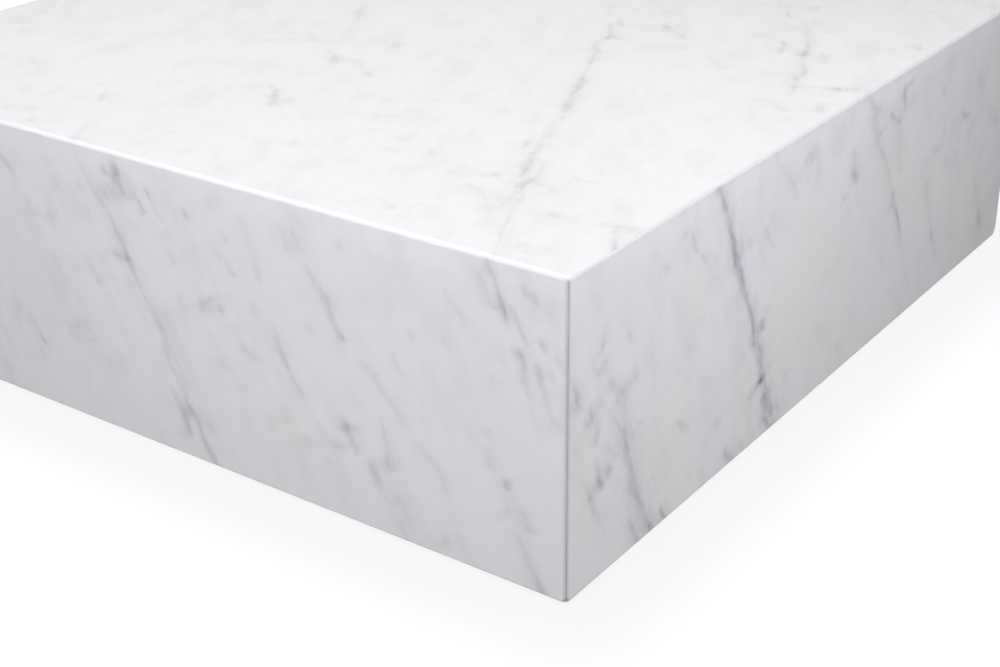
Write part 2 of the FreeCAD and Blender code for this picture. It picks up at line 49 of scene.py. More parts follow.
scene.view_settings.gamma = 1.0


# ---------------------------------------------------------------- node helper
class Tree:
    """Short calls for the nodes of one material."""

    def __init__(self, name):
        self.mat = bpy.data.materials.new(name)
        self.mat.use_nodes = True
        self.nt = self.mat.node_tree
        self.nt.nodes.clear()
        self.out = self.new("ShaderNodeOutputMaterial")
        self.bsdf = self.new("ShaderNodeBsdfPrincipled")
        self.nt.links.new(self.bsdf.outputs[0], self.out.inputs["Surface"])
        self.co = self.new("ShaderNodeTexCoord").outputs["Object"]

    def new(self, kind):
        return self.nt.nodes.new(kind)

    def put(self, socket, value):
        if isinstance(value, bpy.types.NodeSocket):
            self.nt.links.new(value, socket)
        else:
            socket.default_value = value

    def math(self, op, a, b=None, c=None, clamp=False):
        n = self.new("ShaderNodeMath")
        n.operation = op
        n.use_clamp = clamp
        for i, q in enumerate((a, b, c)):
            if q is not None:
                self.put(n.inputs[i], q)
        return n.outputs[0]

    def vec(self, op, a, b=None, c=None):
        n = self.new("ShaderNodeVectorMath")
        n.operation = op
        for i, q in enumerate((a, b, c)):
            if q is not None:
                self.put(n.inputs[i], q)
        return n.outputs["Value"] if op in ("DOT_PRODUCT", "LENGTH", "DISTANCE") else n.outputs["Vector"]

    def scale(self, a, k):
        n = self.new("ShaderNodeVectorMath")
        n.operation = "SCALE"
        self.put(n.inputs[0], a)
        self.put(n.inputs["Scale"], k)
        return n.outputs["Vector"]

    def xyz(self, x, y, z):
        n = self.new("ShaderNodeCombineXYZ")
        for i, q in enumerate((x, y, z)):
            self.put(n.inputs[i], q)
        return n.outputs[0]

    def split(self, v):
        n = self.new("ShaderNodeSeparateXYZ")
        self.put(n.inputs[0], v)
        return n.outputs[0], n.outputs[1], n.outputs[2]

    def noise(self, at, scale=1.0, detail=2.0, rough=0.5, lac=2.0, dist=0.0):
        n = self.new("ShaderNodeTexNoise")
        n.noise_dimensions = "3D"
        self.put(n.inputs["Vector"], at)
        n.inputs["Scale"].default_value = scale
        n.inputs["Detail"].default_value = detail
        n.inputs["Roughness"].default_value = rough
        n.inputs["Lacunarity"].default_value = lac
        n.inputs["Distortion"].default_value = dist
        return n.outputs["Fac"], n.outputs["Color"]

    def voronoi(self, at, scale=1.0, feature="F1", rand=1.0):
        n = self.new("ShaderNodeTexVoronoi")
        n.feature = feature
        self.put(n.inputs["Vector"], at)
        n.inputs["Scale"].default_value = scale
        n.inputs["Randomness"].default_value = rand
        return n

    def ramp(self, v, lo, hi, a=0.0, b=1.0, smooth=True):
        n = self.new("ShaderNodeMapRange")
        n.interpolation_type = "SMOOTHSTEP" if smooth else "LINEAR"
        n.clamp = True
        self.put(n.inputs["Value"], v)
        for k, q in (("From Min", lo), ("From Max", hi), ("To Min", a), ("To Max", b)):
            self.put(n.inputs[k], q)
        return n.outputs["Result"]

    def mix(self, f, a, b):
        n = self.new("ShaderNodeMix")
        n.data_type = "RGBA"
        n.blend_type = "MIX"
        self.put(n.inputs["Factor"], f)
        self.put(n.inputs[6], a if isinstance(a, bpy.types.NodeSocket) else (*a, 1.0))
        self.put(n.inputs[7], b if isinstance(b, bpy.types.NodeSocket) else (*b, 1.0))
        return n.outputs[2]

    def bump(self, height, strength, distance):
        n = self.new("ShaderNodeBump")
        n.inputs["Strength"].default_value = strength
        n.inputs["Distance"].default_value = distance
        self.put(n.inputs["Height"], height)
        self.put(self.bsdf.inputs["Normal"], n.outputs[0])

    def set(self, **kw):
        for k, q in kw.items():
            self.put(self.bsdf.inputs[k.replace("_", " ")], q)

    def curves(self, x, tables):
        """Three tables of points (x, y), all 0 to 1, read at once. The result is a vector."""
        n = self.new("ShaderNodeRGBCurve")
        n.inputs["Fac"].default_value = 1.0
        self.put(n.inputs["Color"], x)
        for curve, table in zip(n.mapping.curves, tables):
            while len(curve.points) > 2:
                curve.points.remove(curve.points[1])
            table = table or [(0.0, 0.0), (1.0, 0.0)]
            curve.points[0].location = table[0]
            curve.points[1].location = table[-1]
            for q in table[1:-1]:
                curve.points.new(*q)
            for q in curve.points:
                q.handle_type = "VECTOR"
        n.mapping.extend = "HORIZONTAL"
        n.mapping.use_clip = False
        n.mapping.update()
        return n.outputs["Color"]


# The veins of each face, one stroke a line: u,v,half-width,strength in mm along the face and
# up it, seen from outside. A line with one entry is a spot.
TOP = """
537,636,3,.3 544,625,3,.36 550,609,3,.44 558,595,2.6,.4 562,582,3,.2 567,570,4,.18 572,561,4,.12
574,589,3,.25 581,579,3.5,.6 587,571,4,.8 595,561,4,.75 597,557,3,.3
580,564,3,.75 586,555,4,.75 591,544,5,.8 596,536,5,.8 601,530,4.5,.75 605,522,5,.7 607,512,4,.55 603,502,3,.35 607,492,3.2,.7 614,482,4.5,.85 617,477,4.5,.8 624,470,4,.9 625,462,4,.7 629,452,3.8,.85 634,442,3.6,.9 636,435,3.4,.8 641,425,4.27,.55 647,411,4.01,.607 652,399,4.51,.647 657,390,5.26,.745 660,384,6.27,.809 666,371,6.27,.777 671,359,5.26,.687 675,346,4.51,.607 679,339,4.51,.566 684,327,5.64,.728 688,319,6.27,.85 691,311,5.52,.768 696,300,4.51,.607 701,292,3.76,.405 705,286,3,.45 709,279,3,.3
609,520,5.5,.75
700,282,7,.264 706,270,7.88,.273 712,257,8.75,.314 719,240,9.62,.363 724,225,8.75,.314 730,214,7.7,.454 732,202,7,.413 736,192,4.28,.422 744,180,4.03,.528 747,170,3.3,.6 751,160,3.2,.6 755,150,3,.54 759,145,2.9,.26
745,188,3.6,.19 751,184,3.6,.332 760,172,3.84,.522 765,162,3.84,.57 767,156,3.84,.427 769,145,4.8,.807 770,136,6,.902 770,127,5.52,.807 774,120,5.28,.475 777,110,6,.332 779,100,7.2,.551 782,91,6.6,.475 785,82,7.2,.285
780,118,3,.25 785,107,3.4,.38 794,85,3.4,.3 799,70,3.4,.68 804,61,4.2,.62 810,45,4.4,.56 814,37,4.6,.6 819,30,4,.5 824,17,4,.4 829,7,4,.36 833,0,4,.36 836,-6,4,.3
713,219,2.4,.36 715,213,2.7,.72 719,204,2.4,.42
732,108,6,.3 737,105,8,.55 746,101,8,.5 760,92,9,.42 768,82,8,.35 776,74,6,.75 782,65,7,.36 790,50,7,.3 796,42,6,.34
729,88,6,.3
729,74,4,.28
737,137,5,.6
733,131,8,.4
736,160,15,.24
800,202,7,.3 804,190,8,.38 806,178,6,.25
792,168,4,.45 797,165,5,.6 804,167,5,.5 810,166,5,.4
796,158,4,.6 797,148,4,.3
785,141,7,.42 791,139,7,.5 795,136,7,.6 797,130,6,.5 801,120,5,.34
820,99,5,.4 824,91,5.5,.85 830,87,5,.4
820,77,9,.24
806,95,5,.3
868,99,6,.4 872,97,6,.6
876,104,5,.45 879,101,5.5,.7 882,94,5.5,.75 889,84,5,.5 892,74,4,.75 897,66,3.6,.95 901,58,4,.9
894,100,7,.55
857,140,12,.22 862,135,12,.3 870,128,8,.34
837,194,9,.24
866,192,9,.2
886,245,11,.22 890,230,8,.2
845,286,4,.2 849,277,4,.36
734,340,5,.4
747,327,8,.3
869,390,12,.25 869,375,12,.25
714,367,6,.18 720,360,6,.22
543,276,4,.2 546,272,4.5,.3 554,262,5,.2
577,265,5.5,.52 582,255,6,.26
537,238,8,.28 545,243,6,.5 551,234,6,.4
519,248,7,.25 518,237,7,.4
570,206,8,.12 581,207,8,.4
563,199,9,.3
580,192,6,.3
584,169,6.5,.34 587,163,6.5,.36
566,187,6,.24
615,166,6,.24 621,160,5.5,.45
625,141,6,.24 631,134,6.5,.45 639,136,5,.28
651,162,6,.22 659,155,7,.4 665,145,7,.3
649,276,4.5,.4 649,265,3,.28
682,141,3,.3 690,134,3,.33 697,129,3,.3 705,119,3.4,.32
612,107,5,.2 616,94,5.5,.38
551,102,8,.5
707,40,4.5,.5 710,37,4.5,.65 713,33,4.5,.5
725,51,4.5,.38
732,27,7,.2
544,16,8,.45
614,15,7,.36
635,10,8,.4
584,60,7,.24
551,57,8,.24
832,35,5,.35 836,31,5.5,.4 846,27,9,.46 852,23,9,.46
857,40,9,.28
856,7,10,.34
525,335,9,.3
542,334,8,.2
600,314,7,.2
594,619,6,.24 600,610,4.5,.3 607,602,5,.2
627,594,5,.6 631,590,5.5,.85 636,584,6.2,1.0 640,579,5.5,.85 643,570,6,.45
650,576,4.4,.4 656,571,4.6,.5 660,569,4.6,.7 664,566,4.8,.95 667,561,4.4,.6 672,555,5,.25
655,552,8,.18
675,537,12,.22 683,527,9,.35
685,524,7,.3
732,512,5,.25 736,509,5.5,.36 742,502,5.5,.42 750,496,5.5,.55 754,490,5,.35
714,477,6,.22 717,470,6.5,.3
604,470,4,.45 607,465,4.4,.5 610,459,5,.42
625,522,8,.24
687,737,5,.42 694,726,4.6,.5 699,715,4.4,.45
704,726,5,.2 711,709,4,.36 716,700,4.8,.8 721,690,4.6,.86 724,683,4,.4
678,714,7,.3
670,695,8,.2
736,694,4,.2 740,687,4.4,.3 750,675,4,.34 760,655,4.2,.4 767,640,4,.45 776,622,4,.56 785,607,4.6,.7 790,595,4.4,.78 795,581,4.6,.95 797,574,5,.95 801,565,4.4,.6 806,552,3.6,.45 811,542,3.8,.7 819,530,4.2,.72 825,520,4.2,.72 823,509,3.6,.75 826,497,3.4,.7 830,486,4,.6 836,474,4.2,.7 839,466,4.2,.66 842,457,4.4,.46 846,448,5,.25
788,585,8,.3 794,572,8,.3
740,661,6,.28 745,650,6.5,.45 747,641,6,.3
729,616,7,.52 733,606,7,.42
758,608,4,.4 761,603,5,.72 765,595,5,.85 768,585,4.2,.6 772,574,4.2,.92 776,567,3.6,.6
812,590,6,.25 816,582,7,.5 820,570,6.5,.52 825,558,6,.48
785,660,6.5,.44
705,572,8,.24
757,575,7,.2
729,743,6,.45 731,730,6.5,.42 732,716,6.5,.45
744,765,8,.2
772,740,7,.24
846,750,5,.3 849,744,6,.6
850,715,7,.2
833,786,5.5,.38 836,780,5.5,.34
830,765,8,.18
862,725,6,.22 869,716,5.5,.44
842,826,7,.2
863,852,5,.4 867,845,5,.38 870,835,5,.3 875,815,5,.24 877,802,6,.2
877,862,4,.4 881,852,5,.6 887,840,5.2,.7 892,827,5,.66 896,815,5,.5
871,676,5,.2 877,665,4.6,.6 881,657,5.2,.96 886,650,4.6,.6
892,643,7,.2
862,640,12,.22
865,630,8,.28
876,521,5,.35 882,505,6,.7 887,494,7,.55
868,500,6,.6 871,496,7,.75 874,487,6,.5
858,490,8,.42 863,491,7,.5
897,482,6,.36
875,452,5,.36 878,442,7,.5 881,435,8,.7 886,425,6.5,.55
820,428,9,.28 832,430,12,.42 845,422,9,.46 856,412,7,.52
857,470,7,.34
812,510,7,.28
811,467,8,.24
870,405,11,.24
740,455,12,.14
610,634,7,.18
313,487,5,.28 321,473,4.6,.48 327,458,5,.55 335,447,5.5,.62 342,437,4.6,.5 348,426,4,.3 356,413,5,.15
363,399,7,.25 366,393,7,.34 377,377,6.5,.4 385,366,6,.36 388,356,6.5,.4 394,346,6,.28
391,333,4,.35 395,330,4.4,.5 403,323,4.8,.56 413,317,5.5,.66 421,307,5.5,.6 427,300,5.5,.42
428,317,9,.3 440,309,9,.46 449,309,8,.4 459,302,6,.4 467,297,5,.3
474,293,5,.5 478,290,5.5,.62 484,284,5,.58 491,281,5,.28
435,391,6,.28 439,382,7,.5 443,375,7,.48
450,406,9,.18
322,350,8,.3 331,355,9,.42 339,360,9,.44 348,360,8,.4 357,351,7,.5 364,342,6.5,.42
335,343,8,.4 340,333,8,.45
314,325,8,.28 325,322,9,.48 335,320,8,.38
327,412,8,.24 335,398,7,.25 342,385,7,.18
405,278,7,.18 421,257,7,.3 429,244,7,.2
424,213,5.5,.48 431,207,5.5,.6 438,203,4.6,.76 443,199,4.6,.8 447,192,4.6,.74 453,186,5,.66 457,180,4.6,.75 460,174,4.8,.86 464,165,4.6,.7
444,185,5,.5
463,199,5.5,.38 469,186,6,.6 473,174,5.5,.58 477,165,5,.28
289,128,5.5,.38 296,122,5.5,.34
311,108,4.6,.48 316,101,5.5,.6 322,94,5.8,.66 327,87,4.6,.46
233,83,8,.42 238,78,8,.42 245,67,9,.32
286,42,7,.44 290,33,7,.46
268,30,6,.58
312,18,7,.6 318,12,6,.4
278,47,8,.28
360,46,4,.18 369,31,4.4,.38 375,18,3.8,.48 382,8,4,.6 386,0,4,.5
440,67,6.5,.36 443,61,6.5,.36
403,34,9,.24
483,31,8,.28 489,48,6,.18
452,91,9,.15
450,39,9,.2
538,24,5,.32
535,205,7,.18 540,180,9,.24
223,283,10,.24
213,221,9,.2
208,104,9,.28
21,289,8,.32
46,265,8,.3
56,227,7.5,.36
80,215,9,.34 87,204,8.5,.5 93,193,7,.36
145,340,7,.2
165,292,7,.2
140,234,8,.24
142,181,7,.2
168,148,5,.4 172,143,5.5,.55 178,138,6,.55 185,131,5.5,.34
350,151,9,.14
525,660,3,.5 517,680,3.5,.7 508,700,4,.75 499,722,4.5,.9 490,745,4,.7 481,766,3.4,.55 470,790,4,.8 463,810,4.4,.9 455,830,4,.75 447,851,3.4,.5 440,870,3.6,.6 434,886,4,.7 429,904,4,.6
508,705,3,.3 497,716,3.2,.45 487,731,3.4,.4 478,742,3,.25
676,765,3,.4 665,790,3.4,.5 656,812,3.2,.45 647,832,3.6,.6 640,852,3.4,.5 633,876,3.2,.45 627,902,3,.4
300,520,3.4,.4 289,541,3.6,.5 276,566,3.2,.35 268,587,3.6,.55 259,606,4,.6 250,629,3.4,.4 241,652,3.2,.35 232,675,3.6,.5 222,701,4,.55 213,722,3.6,.4 203,748,3.2,.3
120,420,4,.25 111,441,4.4,.35 103,462,4,.3 93,486,3.6,.2
60,520,4,.3 50,545,4.6,.42 43,561,4.4,.4 33,585,4,.25
160,640,5,.35 152,655,6,.5 147,668,5,.4 139,686,4,.25
350,640,4,.3 343,655,4.6,.5 338,668,5,.55 330,684,4,.35
372,720,3,.25 362,742,3.4,.4 354,760,3.2,.35 345,783,3,.25
265,800,5,.45 257,817,6,.6 248,835,5,.45 243,852,4,.3
180,790,3.4,.3 171,811,3.6,.45 164,829,3.4,.35
90,700,4,.35 80,722,4.4,.45 72,742,4,.3
40,790,5,.4 31,812,5.4,.5 23,833,4.4,.3
560,790,3,.3 552,808,3.2,.4 543,829,3,.35 536,850,3,.3
590,700,4,.22 583,716,4.4,.35 576,732,4,.25
800,860,3,.2 794,876,3.4,.3 788,893,3,.25
205,640,3,.25 197,661,3.2,.35 190,679,3,.3
120,770,3,.3 112,790,3.2,.4 104,812,3,.3 96,832,3,.25
420,700,7,.3
310,740,6,.35
130,560,8,.3
210,560,5,.3
390,830,6,.35
520,870,7,.3
100,850,7,.35
330,870,5,.3
20,640,6,.3
740,850,5,.25
706,268,9,.11 716,246,12,.187 727,222,13,.231 736,198,13,.253 746,176,13,.253 757,152,12,.231 768,128,10,.187 776,108,8,.11
660,395,8,.12 672,362,9,.168 684,334,9,.168 695,306,8,.156 704,282,7,.108
"""
FRONT = """
383,279,3.15,.27 386,272,3.36,.31 391,263,3.57,.37 395,256,3.99,.51 399,248,4.41,.47 403,241,3.57,.37 408,237,3.57,.55 413,230,3.57,.61 419,222,3.99,.67 424,214,4.41,.75 428,206,4.41,.81 432,199,4.62,.91 435,191,4.83,.91 438,185,4.41,.87 442,178,5.04,1.1 445,172,3.99,.96 447,167,3.99,.76 451,158,3.99,.66 456,148,3.36,.52 463,139,3.78,.56 469,129,3.99,.74 474,122,4.41,.82 477,114,3.99,.55
476,110,4,.34 476,102,4.2,.45 479,92,4.4,.5 483,84,4.2,.45 489,74,4.2,.36 495,63,4.4,.4 497,56,4.6,.7 501,51,4.4,.8 505,47,5.2,.85 508,41,5,.86 510,34,4.4,.86 512,26,4.4,.9 515,18,5.2,1.0 520,11,5.6,1.02 525,5,4.4,.95 529,0,4.4,.85 532,-6,4,.7
480,110,5,.2 482,105,5,.3 488,96,5,.3 493,86,4.6,.36 498,76,4.4,.52 501,70,4,.4
477,64,4,.28 483,57,4.4,.8 487,52,4.4,.72 490,48,5,.74 491,41,5,1.0 493,34,4.4,.7 495,26,5.2,.76 497,22,4.4,.45
483,42,9,.3
500,45,4.4,.85
521,46,6.5,.5 523,38,6,.4 525,29,5,.2
419,182,4.6,.5 425,181,4.6,.6 430,180,4.6,.68 435,179,4.6,.56
472,48,9,.18
488,20,8,.34
421,262,4.4,.6 423,258,4.4,.8 428,254,4.6,.45
434,269,7,.5 437,261,6.5,.72 437,252,6.5,1.0 442,249,6.5,.72 447,242,6.5,.62 451,239,5.5,.45
440,259,6,.6
449,260,5.5,.48
425,246,6.5,.45 427,238,6,.35
417,241,6,.34
424,233,5.5,.44
437,240,7,.38
453,248,5.5,.36 457,239,4.6,.38
463,239,3.8,.58 466,233,4,.75 467,229,4,.8
465,224,5,.28
471,254,3.6,.38 475,248,4.4,.86 480,240,3.8,.36 484,233,3.8,.3 489,227,4.4,.55
491,217,8,.4 492,207,7,.3 495,198,6.5,.36 498,191,6.5,.45
388,234,5,.5
360,241,5.5,.28 360,231,4.8,.45
392,213,9.5,.36
286,244,4.6,.5 290,241,4.6,.56 295,237,4.6,.6 300,233,4.6,.48
315,210,8.5,.28 317,200,8,.34 322,195,7,.36 331,198,8,.24
343,196,11,.34 348,191,9,.28
386,170,5.5,.34 391,160,7,.38 397,154,7,.42 401,148,6.8,.62
344,156,7,.38
453,212,6,.24
441,158,7,.18
525,163,5,.35 529,158,7.5,.82 531,151,7,.35
533,165,6,.42 537,167,5,.38
540,160,10,.34
549,162,5.5,.48 552,158,5,.35
499,158,5.5,.42 504,150,6,.38 509,144,6,.24
501,134,9,.24
485,140,9,.2
518,239,5.5,.72
545,255,7,.38
557,262,8,.4
561,228,5.5,.45
546,219,7.5,.34 550,212,6,.28 560,206,5,.4 564,202,5,.5 568,197,5,.45
545,112,7,.34 549,104,6.5,.42
541,94,10,.2
563,147,6.5,.42 568,141,5.5,.26
560,174,6,.3
278,97,9,.34
275,80,13,.28
278,87,7,.28
295,88,5,.4 299,82,5.5,.5 303,75,5.2,.55 307,69,5.4,.7 311,64,5.6,.86 314,60,5,.4
306,50,7,.28
310,44,7,.24
255,58,9,.34
249,22,13,.34
359,93,8,.4 355,87,8,.3 360,81,6.5,.38
367,98,9,.3
376,96,6,.28
379,85,5,.62 383,83,5,.35
400,66,7,.28
417,68,9,.24
413,80,7,.18
387,19,10,.24
291,18,9,.24
349,138,11,.18
307,120,9,.18
580,252,5.5,.28 587,236,5.5,.34 589,227,6.5,.3 592,218,4.6,.36 597,204,5.4,.56 598,199,5,.35
586,174,5,.42 590,166,5.2,.46
571,134,4.6,.42 574,130,5.5,.52 580,126,6.2,.5 586,122,6.2,.45
586,108,7,.18
607,165,4,.28 611,156,4.4,.55 614,144,4.6,.66 616,136,5,.76 620,128,4.8,.76 625,122,4,.52 628,113,4.8,.6 633,108,4.8,.7 637,103,4.4,.7 640,98,4.4,.36 647,89,4,.26 651,83,4,.34 656,76,4.6,.2 666,70,6.5,.4 671,68,6.5,.66 675,65,5,.4
648,170,6.5,.4
614,86,9,.32 618,76,7,.4
598,66,7,.3
634,63,6.5,.4 639,58,6.5,.36
622,44,13,.22
661,49,5,.28
674,40,13,.22
569,90,7,.24
637,274,5,.28 640,268,5.5,.32 646,262,6.5,.35 654,258,7,.34
638,253,4,.34 642,244,4.4,.4 646,236,4.6,.34
631,237,8,.4
626,245,8,.2
620,254,10,.18
649,226,4.4,.4 652,222,5,.52 655,218,5.5,.6 659,212,7,.62 664,206,6.2,.76 669,201,6.2,.86 671,194,6.2,.66 674,187,5.5,.6 677,180,4.8,.62 680,175,4.6,.75 683,171,5,1.0 686,168,4.6,.6
683,159,5.5,.28
687,252,3.8,.5
703,176,5,.2 708,168,5.5,.3
702,155,4.4,.58 708,149,6.5,.5 714,146,5.5,.55 718,140,5.5,.5 723,135,4.8,.5 729,130,4.6,.5 734,125,4.4,.45 739,118,4.4,.5 741,110,4.4,.48 742,104,4,.25
734,171,5,.6 737,165,4.6,.45 744,156,4,.28 749,147,4,.26
751,198,4.6,.3 754,192,5.5,.62 757,187,4.6,.3
787,196,7,.3
788,240,4,.34 795,231,4,.45 802,224,4.2,.45 809,215,4.2,.36
792,180,8,.2 798,152,8,.2
832,173,7,.4
781,130,9,.2
677,97,5,.4 680,93,6.5,.75 682,88,6.5,.95 686,80,5,.5 688,77,5,.6 691,70,4.6,.72 693,65,4,.3
688,91,6,.65 692,90,5.5,.45
706,64,4.4,.4 708,60,4.6,.7 711,53,5,.92 714,45,5,.92 717,40,4.4,.6 722,34,4,.34 728,30,4,.26
733,38,4.8,.62 737,33,4.6,.3 745,23,4.6,.35 750,16,4.6,.35
735,16,5,.28 740,8,4.4,.45 745,2,4.6,.4 748,-4,4.6,.3
726,18,7,.2
719,110,3.6,.24 723,99,4.2,.6 723,92,4.6,.68 726,84,4.8,.52 726,75,5.6,.62 725,69,5.6,.88 728,63,4.8,.7
733,69,5,.38
757,98,4.8,.34 766,89,5.4,.42 776,82,4.8,.4 780,72,5,.34 783,62,5,.28
781,13,6.5,.56
772,9,7,.28
827,277,4,.7 829,271,4.4,.85 833,265,4.8,.86 837,258,4.6,.82 839,250,4.6,.86 841,243,5,1.0 843,236,5,1.05 845,230,4.2,.8 847,225,4,.3
818,266,4.6,.3 821,260,4.6,.6 825,250,5.2,.46 829,242,5.2,.5 834,237,4.6,.6
848,243,4,.46 852,236,4.4,.7 856,229,4.6,.78 860,221,4.2,.72 864,215,3.8,.48
852,208,4.8,.5 857,204,5.4,.82 860,197,4.2,.7 861,188,4,.62 864,176,3.8,.46 867,162,3.8,.3 872,148,3.8,.26 876,136,4,.18
861,207,4.8,.6
872,202,4.6,.72 875,192,5.4,.76 877,186,4.8,.62 880,178,4.6,.7 883,168,4.2,.46 886,156,4.2,.5 888,149,4,.3
877,218,5.2,.86
890,209,4.2,.6
885,196,4.2,.5
893,156,5,.46
859,262,4.6,.4 862,257,4.8,.75 866,254,4.4,.45
870,252,4.8,.82
866,244,5,.34 870,236,5,.3
884,246,6,.4
862,272,9,.28
886,260,7,.28
890,234,6,.3
826,131,4.8,.5 830,125,4.6,.3
824,114,5.8,.34 827,102,4.8,.4
843,92,5,.82 845,86,5,.78
843,64,5.8,.45 840,58,5.5,.3
859,69,4.8,.5 863,61,4.8,.5 868,54,4.8,.6
853,46,4.6,.48 858,38,4.2,.36 862,30,4.2,.35 868,19,4.8,.5 872,11,5.4,.85 876,4,5.4,1.1 879,-3,5,1.1
734,214,7,.24
704,226,7,.18
888,98,8,.2
205,280,4,.8 211,262,4,.9 218,243,3.6,.8 226,221,3.4,.75 232,204,3,.6 238,187,3,.5 243,170,3,.4 248,153,2.6,.3
92,278,4,.5 99,258,4.4,.65 107,238,4,.6 113,221,3.6,.45 121,200,3.4,.5 130,178,4,.7 138,157,4.4,.8 145,138,4,.6 152,119,3.4,.4 160,99,3.4,.45 168,78,3.8,.6 176,57,4,.65 184,37,3.6,.5 192,15,3.4,.45 198,-3,3.4,.4
35,240,4,.35 42,221,4.6,.5 48,205,4.2,.4 55,186,3.6,.3
60,130,5,.4 66,114,5.4,.55 73,97,4.6,.4 80,80,4,.3
20,90,4,.35 27,71,4.4,.5 34,53,4,.4 41,34,3.4,.25
150,250,4,.3 156,236,4.6,.45 162,221,4,.3
175,180,3,.25 183,160,3.4,.4 190,141,3.4,.4 198,121,3,.3 205,101,2.8,.25
215,90,4,.35 221,75,4.4,.5 227,60,4,.35
5,278,3,.3 13,258,3.4,.4 20,238,3,.3
100,110,3,.25 107,92,3.2,.35 114,74,3,.3 122,54,3,.25
120,250,6,.35
60,262,5,.3
185,230,6,.3
95,150,5,.35
25,150,6,.3
110,40,7,.35
150,20,5,.35
205,30,5,.3
10,200,4,.3
75,30,5,.3
215,160,5,.3
"""
